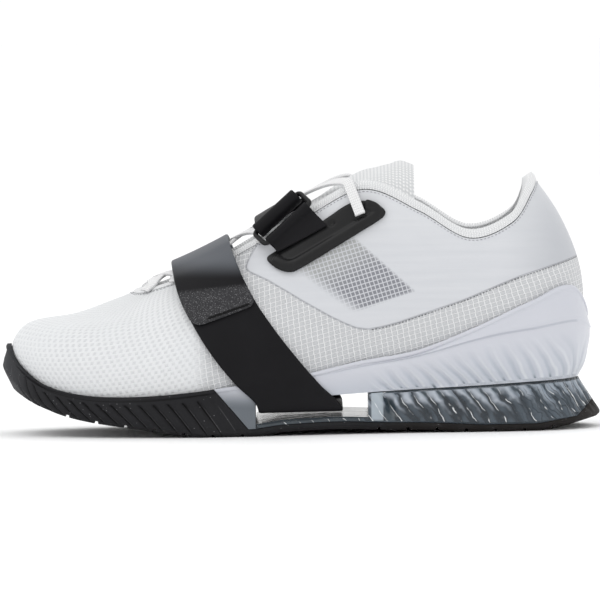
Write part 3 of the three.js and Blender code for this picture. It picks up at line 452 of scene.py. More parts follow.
def rimShare(station):
    return shareAtHeight(station, size["cup"] * sectionValue(upperSections, station, "rim"))


def bindingShare(station):
    return 1 - size["binding"] / profileLength(station)


def tongueCrown(station):  # pressed down where the straps hold it
    held = 1 - 0.5 * (1 - ease((station - 5.2) / 1.6))
    return size["collar"] * levelCurve(tongueRows["station"], tongueRows["crown"], station) * held


def overThroat(station, w, distance, crown):
    left = offSkin(station, 1.0, distance)
    right = offSkin(fullTurn - station, 1.0, distance)
    point = mix(left, right, ((w + 1) / 2)[..., None])
    point[..., 2] += crown * (1 - np.abs(w) ** 2.4)
    return point


# Meshes from grids of points

def makePiece(name, points, faces, material, maps=None, marks=None, sharp=40):
    mesh = bpy.data.meshes.new(name)
    flat = np.asarray(points, float).reshape(-1, 3)
    mesh.from_pydata((flat * mm).tolist(), [], [tuple(face) for face in np.asarray(faces).tolist()])
    if maps is not None:
        layer = mesh.uv_layers.new(name="map")
        layer.data.foreach_set("uv", np.asarray(maps, float).reshape(-1))
    for key, values in (marks or {}).items():
        mesh.attributes.new(key, "FLOAT", "POINT").data.foreach_set("value", np.asarray(values, float).reshape(-1))
    return addPiece(name, mesh, material, sharp)


def addPiece(name, mesh, material, sharp=40):
    mesh.materials.clear()
    mesh.materials.append(material)
    mesh.polygons.foreach_set("use_smooth", [True] * len(mesh.polygons))
    mesh.set_sharp_from_angle(angle=math.radians(sharp))
    piece = bpy.data.objects.new(name, mesh)
    scene.collection.objects.link(piece)
    return piece


def volumeOf(points, faces):
    corners = points[faces]
    a, b, c, d = (corners[:, k] for k in range(4))
    return (np.einsum("ij,ij->i", a, np.cross(b, c)) + np.einsum("ij,ij->i", a, np.cross(c, d))).sum()


def gridFaces(rows, columns, closeRows, closeColumns, maps=None):  # quads, and each corner's place on the map
    r, c = np.meshgrid(np.arange(rows if closeRows else rows - 1), np.arange(columns if closeColumns else columns - 1),
                       indexing="ij")
    corners = np.stack([np.stack([r, c], -1), np.stack([r, c + 1], -1), np.stack([r + 1, c + 1], -1),
                        np.stack([r + 1, c], -1)], -2).reshape(-1, 4, 2)
    faces = (corners[..., 0] % rows) * columns + corners[..., 1] % columns
    return faces, None if maps is None else maps[corners[..., 0], corners[..., 1]]


def gridPiece(name, grid, material, closeRows=True, closeColumns=True, maps=None, marks=None, sharp=40):
    rows, columns = grid.shape[:2]
    points = grid.reshape(-1, 3)
    faces, corners = gridFaces(rows, columns, closeRows, closeColumns, maps)
    if not closeColumns or not closeRows:  # flat lids over the open ends
        ends = []
        if not closeRows:
            ends = [np.arange(columns), (rows - 1) * columns + np.arange(columns)]
        else:
            ends = [np.arange(rows) * columns, np.arange(rows) * columns + columns - 1]
        return capped(name, points, faces, corners, ends, material, marks, sharp)
    if volumeOf(points, faces) < 0:
        faces = faces[:, ::-1]
        corners = None if corners is None else corners[:, ::-1]
    return makePiece(name, points, faces, material, corners, marks, sharp)


def capped(name, points, faces, corners, ends, material, marks, sharp):
    mesh = bpy.data.meshes.new(name)
    every = [tuple(face) for face in faces.tolist()]
    every += [tuple(ends[0][::-1].tolist()), tuple(ends[1].tolist())]
    mesh.from_pydata((points * mm).tolist(), [], every)
    if corners is not None:
        layer = mesh.uv_layers.new(name="map")
        values = np.zeros((len(mesh.loops), 2))
        values[:corners.size // 2] = corners.reshape(-1, 2)
        layer.data.foreach_set("uv", values.reshape(-1))
    for key, value in (marks or {}).items():
        mesh.attributes.new(key, "FLOAT", "POINT").data.foreach_set("value", np.asarray(value, float).reshape(-1))
    work = bmesh.new()
    work.from_mesh(mesh)
    bmesh.ops.recalc_face_normals(work, faces=work.faces)
    if work.calc_volume(signed=True) < 0:
        bmesh.ops.reverse_faces(work, faces=work.faces)
    work.to_mesh(mesh)
    work.free()
    return addPiece(name, mesh, material, sharp)


def standsFor(piece, slot, *nodes):
    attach(piece, "root")
    if nodes:
        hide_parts(*nodes)
    return piece


def insideOf(points, outline):  # distance to an outline in side view, positive inside it
    corners = np.asarray(outline, float)
    best = np.full(len(points), 1e9)
    inside = np.zeros(len(points), bool)
    for a, b in zip(corners, np.roll(corners, -1, 0)):
        along = b - a
        t = np.clip(((points - a) @ along) / (along @ along), 0, 1)
        best = np.minimum(best, np.linalg.norm(points - (a + t[:, None] * along), axis=1))
        crosses = (a[1] > points[:, 1]) != (b[1] > points[:, 1])
        rise = np.where(b[1] == a[1], 1e-9, b[1] - a[1])
        inside ^= crosses & (points[:, 0] < (b[0] - a[0]) * (points[:, 1] - a[1]) / rise + a[0])
    return np.where(inside, best, -best)


# Sole: one form cut by side-view borders into rubber, clear wedge and chassis

soleRelief = {
    "grooves": {"from": 1.2, "to": 5.5, "pitch": 7.2, "lean": 9, "width": 1.9, "depth": 0.9, "slit": 0.42, "top": 1.42},
    "fins": {"from": 8.35, "pitch": 7.4, "lean": 15, "depth": 1.7},
    "flutes": {"pitch": 7.4, "lean": 16, "depth": 1.25},
    "pillar": {"x": 37.6, "half": 3.1, "swell": 0.7, "groove": 2.6},
}


def soleOut(rows, row, station, part):
    side = sideOf(station)
    i = np.clip(np.searchsorted(soleKindPlaces, side, side="left") - 1, 0, len(soleKindPlaces) - 2)
    places = np.array(soleKindPlaces, float)
    t = ease((side - places[i]) / (places[i + 1] - places[i]))
    values = np.array([rows[kind + part][row] for kind in soleKinds])
    return mix(values[i], values[i + 1], t)


def soleSide(station):
    foot, out = footEdge(station), outward(station)

    def place(share, z):
        point = foot + out * (size["flare"] * share)[..., None]
        point[..., 2] = z
        return point

    treadOut = soleOut(lowerSole, 0, station, "Out")
    tread = treadHeight(place(treadOut, 0)[..., 0])
    waist = size["heel"] * sectionValue(upperSections, station, "waist")
    rim = size["cup"] * sectionValue(upperSections, station, "rim")
    points = [place(soleOut(lowerSole, row, station, "Out"), mix(tread, waist, soleOut(lowerSole, row, station, "Up")))
              for row in range(5)]
    step = mix(waist, rim, sectionValue(swellSections, station, "step"))
    points += [place(soleOut(upperSole, row, station, "Out"), mix(waist, step, upperSole["up"][row])) for row in range(4)]
    for below, swell in ((size["bead"], 0), (size["bead"] * 0.6, size["beadSwell"]), (0, 0)):
        point = offSkin(station, shareAtHeight(station, rim - below), size["cupGap"] + size["lip"] + swell)
        point[..., 2] = rim - below
        points.append(point)
    return np.stack(points, -2)


def smoothLevels(levels, cuts, sharp):  # rows between the levels, rounded except where a level is sharp
    rows, places = [], []
    last = levels.shape[-2] - 1
    for k in range(last):
        a, b = levels[..., k, :], levels[..., k + 1, :]
        before = a if k in sharp or k == 0 else levels[..., k - 1, :]
        after = b if k + 1 in sharp or k + 1 == last else levels[..., k + 2, :]
        for i in range(cuts[k]):
            t = i / cuts[k]
            startTangent = (b - before) * (1.0 if before is a else 0.5)
            endTangent = (after - a) * (1.0 if after is b else 0.5)
            rows.append((2 * t**3 - 3 * t**2 + 1) * a + (t**3 - 2 * t**2 + t) * startTangent
                        + (3 * t**2 - 2 * t**3) * b + (t**3 - t**2) * endTangent)
            places.append(k + t)
    rows.append(levels[..., last, :])
    places.append(last)
    return np.stack(rows, 0), np.array(places)


def evenStations(spacing):  # stations at equal distances along the upper's bottom edge
    fine = np.linspace(0, fullTurn, 5201)
    walked = np.concatenate([[0], np.cumsum(np.linalg.norm(np.diff(footEdge(fine), axis=0), axis=1))])
    count = int(walked[-1] / spacing)
    return np.interp(np.arange(count) / count * walked[-1], walked, fine)


def walkedFrom(station, start):  # distance along each side from a station on towards the heel
    fine = np.linspace(0, fullTurn, 5201)
    walked = np.concatenate([[0], np.cumsum(np.linalg.norm(np.diff(footEdge(fine), axis=0), axis=1))])
    at = lambda s: np.interp(s, fine, walked)
    return np.where(station <= heelStation, at(station) - at(start), at(fullTurn - start) - at(station))


def solePlaces(station, z):  # where a point of the side lies in each pattern
    tread = treadHeight(footEdge(station)[..., 0])
    waist = size["heel"] * sectionValue(upperSections, station, "waist")
    step = mix(waist, size["cup"] * sectionValue(upperSections, station, "rim"),
               sectionValue(swellSections, station, "step"))
    rise = (z - tread) / (waist - tread)
    above = (z - waist) / (step - waist)
    straight = ease((heelStation - 0.4 - sideOf(station)) / 1.2)
    groove, fin, flute = (soleRelief[key] for key in ("grooves", "fins", "flutes"))
    walk = walkedFrom(station, fin["from"])
    return {
        "rise": rise, "above": above, "walk": walk + 0 * z,
        "slit": (walkedFrom(station, groove["from"]) - groove["lean"] * (1 - rise)) / groove["pitch"],
        "fin": (walk - fin["lean"] * straight * (1 - rise)) / fin["pitch"],
        "flute": (walk + flute["lean"] * straight * above) / flute["pitch"] + 0.15 * np.sin(above * 5 + walk / 9),
    }


def reliefOfSole(station, z):
    side = sideOf(station)
    places = solePlaces(station, z)
    rise, above = places["rise"], places["above"]

    groove = soleRelief["grooves"]
    away = np.abs(places["slit"] - np.round(places["slit"])) * groove["pitch"] / (groove["width"] / 2)
    band = ease((side - groove["from"]) / 0.2) * ease((groove["to"] - side) / 0.2)
    relief = -groove["depth"] * ease(1.4 - away) * band * ease((rise - 0.12) / 0.12) * ease((groove["top"] - rise) / 0.1)

    wave = 0.5 + 0.5 * np.cos(2 * np.pi * places["fin"])
    band = ease((side - soleRelief["fins"]["from"] + 0.1) / 0.2)
    rising = ease((rise - 0.22) / 0.16) * ease((1 - rise) / 0.12)
    relief -= soleRelief["fins"]["depth"] * wave**1.3 * band * rising
    pillar = soleRelief["pillar"]
    x = footEdge(station)[..., 0]
    relief += pillar["swell"] * np.exp(-(((x - pillar["x"]) / pillar["half"]) ** 4)) * rising
    relief -= pillar["groove"] * np.exp(-(((x - pillar["x"] - 2 * pillar["half"]) / 2.2) ** 2)) * rising

    wave = 0.5 + 0.5 * np.cos(2 * np.pi * places["flute"])
    relief -= soleRelief["flutes"]["depth"] * wave**1.5 * band * ease((above + 0.02) / 0.1) * ease((0.95 - above) / 0.75)
    return relief


def soleMesh():
    station = evenStations(0.68)
    cuts = [3, 4, 4, 6, 5, 6, 4, 2, 5, 3, 3]
    rows, places = smoothLevels(soleSide(station), cuts, {0, 1, 4, 7, 8, 9})
    out = outward(station)
    inner = places < 8.5
    relief = reliefOfSole(station[None, :], rows[..., 2])
    rows[inner] += out[None] * relief[inner][..., None]
    rim = rimShare(station)
    cup = [offSkin(station, rim * k / 4, size["cupGap"]) for k in (4, 3, 2, 1)]
    floor = offSkin(station, 0.0, size["cupGap"])
    floor[:, 2] = footEdge(station)[:, 2] - size["fitGap"]
    grid = np.concatenate([rows, np.stack(cup, 0), floor[None]], 0)
    rowCount, count = grid.shape[:2]
    points = grid.reshape(-1, 3)
    faces, _ = gridFaces(rowCount, count, False, True)
    lids = []
    half = count // 2
    for base, flip in ((0, True), ((rowCount - 1) * count, False)):
        for i in range(half):
            a, b = base + i, base + i + 1
            c, d = base + (count - i - 1) % count, base + (count - i) % count
            face = [v for k, v in enumerate((a, b, c, d)) if v not in (a, b, c, d)[:k]]
            if len(face) > 2:
                lids.append(face[::-1] if not flip else face)
    mesh = bpy.data.meshes.new("soleForm")
    mesh.from_pydata((points * mm).tolist(), [], faces.tolist() + lids)
    for key, values in solePlaces(np.broadcast_to(station, grid.shape[:2]), grid[..., 2]).items():
        mesh.attributes.new(key, "FLOAT", "POINT").data.foreach_set("value", np.ascontiguousarray(values).reshape(-1))
    work = bmesh.new()
    work.from_mesh(mesh)
    bmesh.ops.recalc_face_normals(work, faces=work.faces)
    if work.calc_volume(signed=True) < 0:
        bmesh.ops.reverse_faces(work, faces=work.faces)
    work.to_mesh(mesh)
    work.free()
    return mesh


borders = {
    "diagonalTop": alongX(0.353), "diagonalBottom": alongX(0.41), "slotFront": alongX(0.423),
    "slotBack": alongX(0.611), "slotFrontUp": 0.44, "slotBackUp": 0.515, "lipStart": alongX(0.96),
    "lipTop": alongX(0.988), "lipRise": 1.08, "beyond": 20,
}
heelEnd = size["length"] / 2 + borders["beyond"]
overTop = size["cup"] + borders["beyond"]
farY = size["ball"] / 2 + borders["beyond"]
diagonalTopUp = size["cup"] * float(sectionValue(upperSections, np.array([5.5]), "rim")[0])
lipHeight = size["flare"] * borders["lipRise"] + size["outsole"] * 0.8


def layerTop(x):
    return treadHeight(x) + size["outsole"]


def waistLine(x):
    return levelCurve(alongX(upperSections["footAlong"]), upperSections["waist"] * size["heel"], x)


def linePoints(height, fromX, toX, lift):
    xs = np.linspace(fromX, toX, 60)
    return list(zip(xs.tolist(), (height(xs) + lift).tolist()))


def rubberOutline():
    b = borders
    return [
        (-heelEnd, -b["beyond"]), (-heelEnd, overTop), (2 * b["diagonalTop"] - b["diagonalBottom"], overTop),
        (b["diagonalTop"], diagonalTopUp), *linePoints(layerTop, b["diagonalBottom"], b["lipStart"], 0),
        (b["lipTop"], lipHeight), (heelEnd, lipHeight + size["outsole"]), (heelEnd, -b["beyond"]),
    ]


def wedgeOutline():
    b, gap = borders, size["fitGap"]
    flangeTop = lambda x: layerTop(x) + size["flange"]
    return [
        *linePoints(layerTop, b["slotFront"] + gap, b["lipStart"], gap), (b["lipTop"], lipHeight + gap),
        (heelEnd, lipHeight + size["outsole"] + gap), *linePoints(waistLine, heelEnd, b["slotBack"], -gap),
        *linePoints(flangeTop, b["slotBack"], b["slotFront"] + gap, gap),
    ]


def chassisOutline():
    b, gap = borders, size["fitGap"]
    return [
        (2 * b["diagonalTop"] - b["diagonalBottom"] + gap, overTop), (b["diagonalTop"] + gap, diagonalTopUp),
        (b["diagonalBottom"] + gap, float(layerTop(b["diagonalBottom"])) + gap),
        (b["slotFront"], float(layerTop(b["slotFront"])) + gap), (b["slotFront"], size["heel"] * b["slotFrontUp"]),
        (b["slotBack"], size["heel"] * b["slotBackUp"]), *linePoints(waistLine, b["slotBack"], heelEnd, 0)[1:],
        (heelEnd, overTop),
    ]


def prismMesh(outline, fromY, toY):
    mesh = bpy.data.meshes.new("prism")
    work = bmesh.new()
    near = [work.verts.new((x * mm, fromY * mm, z * mm)) for x, z in outline]
    far = [work.verts.new((x * mm, toY * mm, z * mm)) for x, z in outline]
    work.faces.new(near)
    work.faces.new(far[::-1])
    for k in range(len(near)):
        n = (k + 1) % len(near)
        work.faces.new((near[k], far[k], far[n], near[n]))
    bmesh.ops.recalc_face_normals(work, faces=work.faces)
    work.to_mesh(mesh)
    work.free()
    return mesh


def booleanMesh(mesh, cutter, operation):
    subject = bpy.data.objects.new("subject", mesh)
    other = bpy.data.objects.new("cutter", cutter)
    for item in (subject, other):
        scene.collection.objects.link(item)
    modifier = subject.modifiers.new("cut", "BOOLEAN")
    modifier.operation = operation
    modifier.object = other
    modifier.solver = "EXACT"
    done = bpy.data.meshes.new_from_object(subject.evaluated_get(bpy.context.evaluated_depsgraph_get()))
    for item in (subject, other):
        bpy.data.objects.remove(item)
    return done


treadSettings = {"pitch": 14.5, "width": 2.4, "depth": 1.4, "forefoot": 7, "heel": 7}


def treadCutter():
    forefootFlat = (treadXs[7] + treadXs[8]) / 2
    heelFlat = (treadXs[14] + treadXs[15]) / 2
    pitch = treadSettings["pitch"]
    places = [forefootFlat + (k - 0.5) * pitch for k in range(-5, 2)]
    places += [heelFlat + (k - 0.5) * pitch for k in range(-4, 3)]
    work = bmesh.new()
    for x in places:
        slope = float(treadHeight(x + 1) - treadHeight(x - 1)) / 2
        along, down = Vector((1, 0, slope)).normalized(), Vector((slope, 0, -1)).normalized()
        base = Vector((x, 0, float(treadHeight(x))))
        deep, wide = treadSettings["depth"], treadSettings["width"] / 2
        corners = [base + down * 4 + along * wide * 1.6, base + down * 4 - along * wide * 1.6,
                   base - down * deep - along * wide * 0.5, base - down * deep + along * wide * 0.5]
        near = [work.verts.new((p.x * mm, -farY * mm, p.z * mm)) for p in corners]
        far = [work.verts.new((p.x * mm, farY * mm, p.z * mm)) for p in corners]
        work.faces.new(near)
        work.faces.new(far[::-1])
        for k in range(4):
            work.faces.new((near[k], far[k], far[(k + 1) % 4], near[(k + 1) % 4]))
    bmesh.ops.recalc_face_normals(work, faces=work.faces)
    mesh = bpy.data.meshes.new("treadCuts")
    work.to_mesh(mesh)
    work.free()
    return mesh


def rubberLook():
    look = Look("blackRubber")
    vector, x, y, z = look.place()
    cells = look.node("ShaderNodeTexVoronoi", {"feature": "F1"}, {"Vector": vector, "Scale": 0.6})
    near = Wire(look, cells.outputs["Distance"])
    tint = Wire(look, look.node("ShaderNodeSeparateColor", None, {0: cells.outputs["Color"]}).outputs[0])
    speck = (1 - near.soft(0.08, 0.17)) * tint.soft(0.64, 0.7)
    grain = look.noise(vector, 0.9, 4.0)
    cloud = look.noise(vector, 0.05, 2.0)
    body = look.blend(cloud, (0.009, 0.009, 0.0105), (0.0155, 0.0155, 0.0175))
    body = look.blend(x.soft(30, 60) * 0.7, body, (0.0145, 0.0115, 0.0095))
    # painted highlight: the rubber is made paler towards the toe tip
    body = look.blend((1 - x.soft(-148, -132)) * 0.8, body, (0.038, 0.039, 0.043))
    dust = (1 - z.soft(0.5, 9.0)) * look.noise(vector, 0.12, 5.0).soft(0.42, 0.7)
    dusty = look.blend(dust * 0.25, body, (0.04, 0.04, 0.042))
    color = look.blend(speck * 0.7, dusty, (0.24, 0.24, 0.25))
    rise, slit = look.mark("rise"), look.mark("slit")
    groove = soleRelief["grooves"]
    last = float(walkedFrom(np.array([groove["to"]]), groove["from"])[0]) / groove["pitch"]
    away = abs((slit + 0.5).fract() - 0.5) * groove["pitch"]
    # cut masks the slits; they are painted near black below, a painted shade in the grooves
    cut = (1 - away.soft(groove["slit"] * 0.5, groove["slit"])) * (1 - rise.soft(groove["top"] - 0.08, groove["top"])) * rise.soft(0.04, 0.1)
    cut = cut * slit.soft(0.3, 0.6) * (1 - slit.soft(last - 0.3, last))
    # lit: a painted highlight along one edge of each slit
    lit = (1 - abs(away - 0.75).soft(0.1, 0.35)) * cut.soft(-1.0, -0.9) * (slit + 0.5).fract().soft(0.5, 0.51)
    lip = (1 - abs(rise - 1.6).soft(0.015, 0.05)) * slit.soft(-0.5, 0.0) * (1 - slit.soft(last, last + 0.3))
    color = look.blend(lit * rise.soft(0.15, 0.3) * (1 - rise.soft(1.0, 1.2)) * 0.3, color, (0.12, 0.12, 0.125))
    color = look.blend(cut.most(lip * 0.8), color, (0.0015, 0.0015, 0.0015))
    return look.finish(color, 0.55 + grain * 0.25, grain * 0.3 - cut, 0.4, **{"Specular IOR Level": 0.2})


def chassisLook():
    look = Look("paleGreyPlastic")
    vector, x, y, z = look.place()
    walk, above, flute = look.mark("walk"), look.mark("above"), look.mark("flute")
    cloud = look.noise(vector, 0.02, 2.0)
    wavy = look.noise(vector, 0.11, 2.0)
    body = look.blend(cloud, (0.52, 0.535, 0.585), (0.59, 0.60, 0.65))
    away = abs((flute + wavy * 0.25 + 0.5).fract() - 0.5)
    fluted = (1 - above.soft(0.15, 0.95)) * walk.soft(-8, 6)
    color = look.blend((1 - above.soft(0.0, 0.9)) * 0.6, body, (0.46, 0.495, 0.555))
    # painted shade: the chassis is darker in the flute valleys
    color = look.blend((1 - away.soft(0.04, 0.24)) * fluted * 0.55, color, (0.33, 0.375, 0.43))
    # painted highlight: a pale line along each flute's crest
    crestHighlight = abs((flute + wavy * 0.25).fract() - 0.42)
    color = look.blend((1 - crestHighlight.soft(0.02, 0.16)) * fluted * 0.5, color, (0.75, 0.77, 0.79))
    line = (1 - abs(above - 1.0).soft(0.01, 0.035)) * x.soft(6, 20) * (1 - x.soft(137, 139))
    color = look.blend(line * 0.5, color, (0.36, 0.38, 0.44))
    notch = (1 - above.soft(0.02, 0.16)) * (1 - away.soft(0.03, 0.12)) * walk.soft(2, 6)
    color = look.blend(notch * wavy.soft(0.36, 0.5) * 0.85, color, (0.06, 0.085, 0.105))
    smoky = (1 - (z + x * 0.1).soft(11.0, 24.0)) * (1 - x.soft(-2, 8))
    color = look.blend(smoky * 0.9, color, (0.07, 0.085, 0.10))
    grain = look.noise(vector, 2.2, 2.0)
    constants = {"Coat Weight": 0.25, "Coat Roughness": 0.25, "Specular IOR Level": 0.4}
    return look.finish(color, 0.33 + cloud * 0.1, grain * 0.2 + away * fluted, 0.3, **constants)


def wedgeLook():
    look = Look("smokyClearPlastic")
    vector, x, y, z = look.place()
    walk, rise, fin = look.mark("walk"), look.mark("rise"), look.mark("fin")
    wavy = look.noise(vector, 0.15, 2.0)
    patch = look.noise(vector, 0.08, 2.0)
    back = walk.soft(58, 88)
    bent = fin + wavy * 0.3 + (patch - 0.5) * 1.1
    tooth = bent.fract()
    away = abs((bent + 0.5).fract() - 0.5)
    deep = 1 - (rise + (tooth - 0.5) * 0.5 + (wavy - 0.5) * 0.7).soft(0.52, 0.94)
    # painted shade: the wedge is darker in the fin valleys and lighter on the fins
    body = look.blend(away.soft(0.1, 0.35), (0.25, 0.29, 0.34), (0.46, 0.50, 0.56))
    body = look.blend(deep, body, (0.011, 0.019, 0.028))
    body = look.blend(back * 0.5 * (1 - deep * 0.5), body, (0.17, 0.225, 0.28))
    # painted highlight: lighter strips on the fin faces in the dark lower part
    bladeHighlight = away.soft(0.2, 0.42) * deep * (1 - back * 0.6)
    color = look.blend(bladeHighlight * patch.soft(0.32, 0.55) * 0.4, body, (0.13, 0.17, 0.21))
    # painted shade: the fin valleys are darkened further in the lower part; the hair strokes at the back join in below
    dark = (1 - away.soft(0.03, 0.17)) * (1 - rise.soft(0.62, 0.98)) * patch.soft(0.25, 0.42)
    fine = abs((fin * 2.6 + wavy * 3.0).fract() - 0.5)
    hair = (1 - fine.soft(0.03, 0.14)) * (1 - rise.soft(0.8, 1.0)) * back
    dark = (dark * (1 - back * 0.4)).most(hair * 0.75)
    color = look.blend(dark * 0.95, color, (0.012, 0.022, 0.032))
    tipMark = (1 - abs(rise - 0.88).soft(0.03, 0.1)) * (1 - away.soft(0.05, 0.15)) * wavy.soft(0.42, 0.5)
    color = look.blend(tipMark * 0.9, color, (0.03, 0.05, 0.065))
    base = (1 - rise.soft(0.08, 0.24)) * (0.35 + wavy * 0.5)
    color = look.blend(base * 0.5, color, (0.07, 0.10, 0.13))
    pillar = soleRelief["pillar"]
    column = (1 - abs(x - pillar["x"]).soft(pillar["half"] * 0.8, pillar["half"] * 1.1)) * rise.soft(0.2, 0.3)
    # painted shade: the groove beside the pillar is darkened
    gap = (1 - abs(x - pillar["x"] - pillar["half"] * 2).soft(1.6, 3.0)) * rise.soft(0.15, 0.25) * (1 - rise.soft(0.7, 0.9))
    color = look.blend(gap * 0.85, color, (0.05, 0.07, 0.085))
    color = look.blend(column * 0.9, color, (0.44, 0.50, 0.55))
    # painted shade: the wedge is darkened ahead of x 27 to 32 mm, where it runs under the strap's slot
    flange = (1 - x.soft(27, 32)) * 0.9
    color = look.blend(flange, color, (0.035, 0.048, 0.06))
    glint = (1 - abs(tooth - 0.2).soft(0.012, 0.045)) * deep * rise.soft(0.15, 0.25) * wavy.soft(0.44, 0.56)
    color = look.blend(glint * 0.9, color, (0.95, 0.97, 0.98))
    height = wavy * 0.5 + away * 0.9 - hair * 0.5
    constants = {"IOR": 1.46, "Transmission Weight": 0.15, "Coat Weight": 0.2, "Coat Roughness": 0.06}
    return look.finish(color, 0.14 + wavy * 0.1, height, 0.7, **constants)


def addSole():
    whole = soleMesh()
    print("sole form", len(whole.polygons))
    block = lambda outline: prismMesh(outline, -farY, farY)
    rubber = booleanMesh(whole.copy(), block(rubberOutline()), "INTERSECT")
    rubber = booleanMesh(rubber, treadCutter(), "DIFFERENCE")
    standsFor(addPiece("rubber_outsole", rubber, rubberLook(), 32), "rubber", "outsole")
    wedge = booleanMesh(whole.copy(), block(wedgeOutline()), "INTERSECT")
    standsFor(addPiece("clear_wedge", wedge, wedgeLook(), 45), "clear_tpu", "heel_wedge")
    chassis = booleanMesh(whole.copy(), block(chassisOutline()), "INTERSECT")
    standsFor(addPiece("grey_chassis", chassis, chassisLook(), 45), "grey_tpu", "chassis")


addSole()
print("sole")


# Upper: a hollow shell with its mesh, film and creases

filmOutline = [  # side view of the film's edge, x and z in millimetres
    (-10, 150), (-10, 110), (-18.9, 97.4), (-24.6, 88.6), (-26.4, 84.8), (-26.6, 82.8), (-25.2, 81.4), (-16, 77.2),
    (-4.9, 70.6), (1.1, 66.8), (15, 58.8), (21.7, 55.4), (27.6, 52.9), (33.2, 52), (40.4, 53), (49.5, 55.3),
    (64.6, 60.2), (81.8, 65.8), (90.1, 69.2), (109.7, 77), (123.8, 81.2), (139.1, 85.6), (175, 95), (175, 150),
]
windowOutline = [(-8, 86), (27.2, 98.2), (57.6, 70.4), (25.4, 60.2)]
upperCreases = [
    {"line": [(-104, 57), (-98, 48), (-94, 38)], "width": 5, "depth": 0.5},
    {"line": [(-84, 64), (-80, 52), (-78, 42)], "width": 6, "depth": 0.6},
    {"line": [(-20, 70), (-6, 61), (10, 50)], "width": 6, "depth": 0.5},
    {"line": [(52, 104), (58, 96), (66, 88)], "width": 5, "depth": 0.6},
    {"line": [(92, 96), (98, 86), (101, 76)], "width": 6, "depth": 0.6},
    {"line": [(116, 106), (122, 96), (126, 86)], "width": 5, "depth": 0.4},
]


def creaseDepth(points):
    total = np.zeros(len(points))
    side = points[:, [0, 2]]
    for crease in upperCreases:
        line = np.array(crease["line"], float)
        best = np.full(len(side), 1e9)
        for a, b in zip(line, line[1:]):
            t = np.clip(((side - a) @ (b - a)) / ((b - a) @ (b - a)), 0, 1)
            best = np.minimum(best, np.linalg.norm(side - (a + t[:, None] * (b - a)), axis=1))
        total += crease["depth"] * np.exp(-((best / crease["width"]) ** 2))
    return total


def upperLook():
    look = Look("whiteMeshAndFilm")
    vector, x, y, z = look.place()
    uv, u, v = look.uv()
    film = look.mark("film")
    window = look.mark("window")
    onFilm = film.soft(-0.3, 0.3)
    fine = look.noise(vector, 1.4, 3.0)
    cloud = look.noise(vector, 0.018, 2.0)
    # rows of short dashes on toe and vamp; their grey is painted shade, for the shadows under the raised bumps
    row = (v - x * 0.25) / 2.3
    dash = (u / 3.3 + row.floor() * 0.5).fract()
    thin = abs(row.fract() - 0.5)
    dashes = dash.soft(0.1, 0.2) * (1 - dash.soft(0.5, 0.6)) * (1 - thin.soft(0.2, 0.36))
    loops = (dash * 12.0).sine() * (1 - thin.soft(0.3, 0.5))
    # ripstop cells on the quarter, their rows rising to the heel
    rising = (z - x * 0.27) / 2.25
    along = (u + z * 0.16) / 2.95 + (rising.floor() * 0.5).fract() * 0.12
    lines = abs(along.fract() - 0.5).most(abs(rising.fract() - 0.5)).soft(0.34, 0.45)
    threads = (u * 9.0 + z * 3.0).sine() * 0.5 + 0.5
    quarter = x.soft(-56, -44)
    toeCloth = look.blend(dashes, (0.725, 0.735, 0.745), (0.645, 0.655, 0.67))
    toeCloth = look.blend(cloud.soft(0.4, 0.7) * 0.4, toeCloth, (0.70, 0.715, 0.73))
    quarterCloth = look.blend(lines, (0.49, 0.50, 0.515), (0.76, 0.765, 0.775))
    quarterCloth = look.blend(threads * 0.35 * (1 - lines), quarterCloth, (0.72, 0.725, 0.735))
    cloth = look.blend(quarter, toeCloth, quarterCloth)
    # film: cool grey, with faint slanting streaks
    slant = {"Vector": vector, "Rotation": (0, 0.3, 0), "Scale": (0.02, 0.08, 0.35)}
    sheen = look.noise(look.node("ShaderNodeMapping", None, slant).outputs[0], 1.0, 3.0)
    smooth = look.blend(sheen, (0.545, 0.56, 0.59), (0.635, 0.645, 0.67))
    # painted light: the film is paler towards the top, where more light falls
    smooth = look.blend(z.soft(84, 120) * 0.5, smooth, (0.67, 0.68, 0.695))
    smooth = look.blend(x.soft(96, 138) * 0.85, smooth, (0.44, 0.455, 0.485))
    gridUp = (z - x * 0.28) / 2.35
    gridAlong = (x + z * 0.3) / 2.2
    grid = abs(gridAlong.fract() - 0.5).most(abs(gridUp.fract() - 0.5)).soft(0.33, 0.46)
    fade = (x + 2.7) * 0.583 + (z - 81.2) * 0.812
    below = x * 0.5 - z * 0.86
    # painted shade: the window's cells are dark grey for the shaded inside seen through the mesh, darker lower down
    cell = look.blend(below.soft(-70, -50), (0.36, 0.37, 0.365), (0.195, 0.20, 0.225))
    netted = look.blend(grid, cell, (0.56, 0.57, 0.60))
    lateral = 1 - y.soft(-6, 6)
    shown = window.soft(-0.6, 1.6) * fade.soft(-1.0, 6.5) * lateral
    smooth = look.blend(shown * 0.95, smooth, netted)
    color = look.blend(onFilm, cloth, smooth)
    seam = 1 - abs(film).soft(0.2, 0.7)
    color = look.blend(seam * 0.45, color, (0.28, 0.29, 0.32))
    height = (dashes * 0.3 + loops * 0.08) * (1 - quarter) + (lines * 0.3 + threads * 0.05) * quarter + fine * 0.08
    height = height * (1 - onFilm) + onFilm * 0.45 + sheen * onFilm * 0.12 - seam * 0.2
    rough = 0.84 - onFilm * 0.36
    constants = {"Sheen Weight": 0.12, "Sheen Roughness": 0.5, "Specular IOR Level": 0.35}
    return look.finish(color, rough, height, 0.9, **constants)


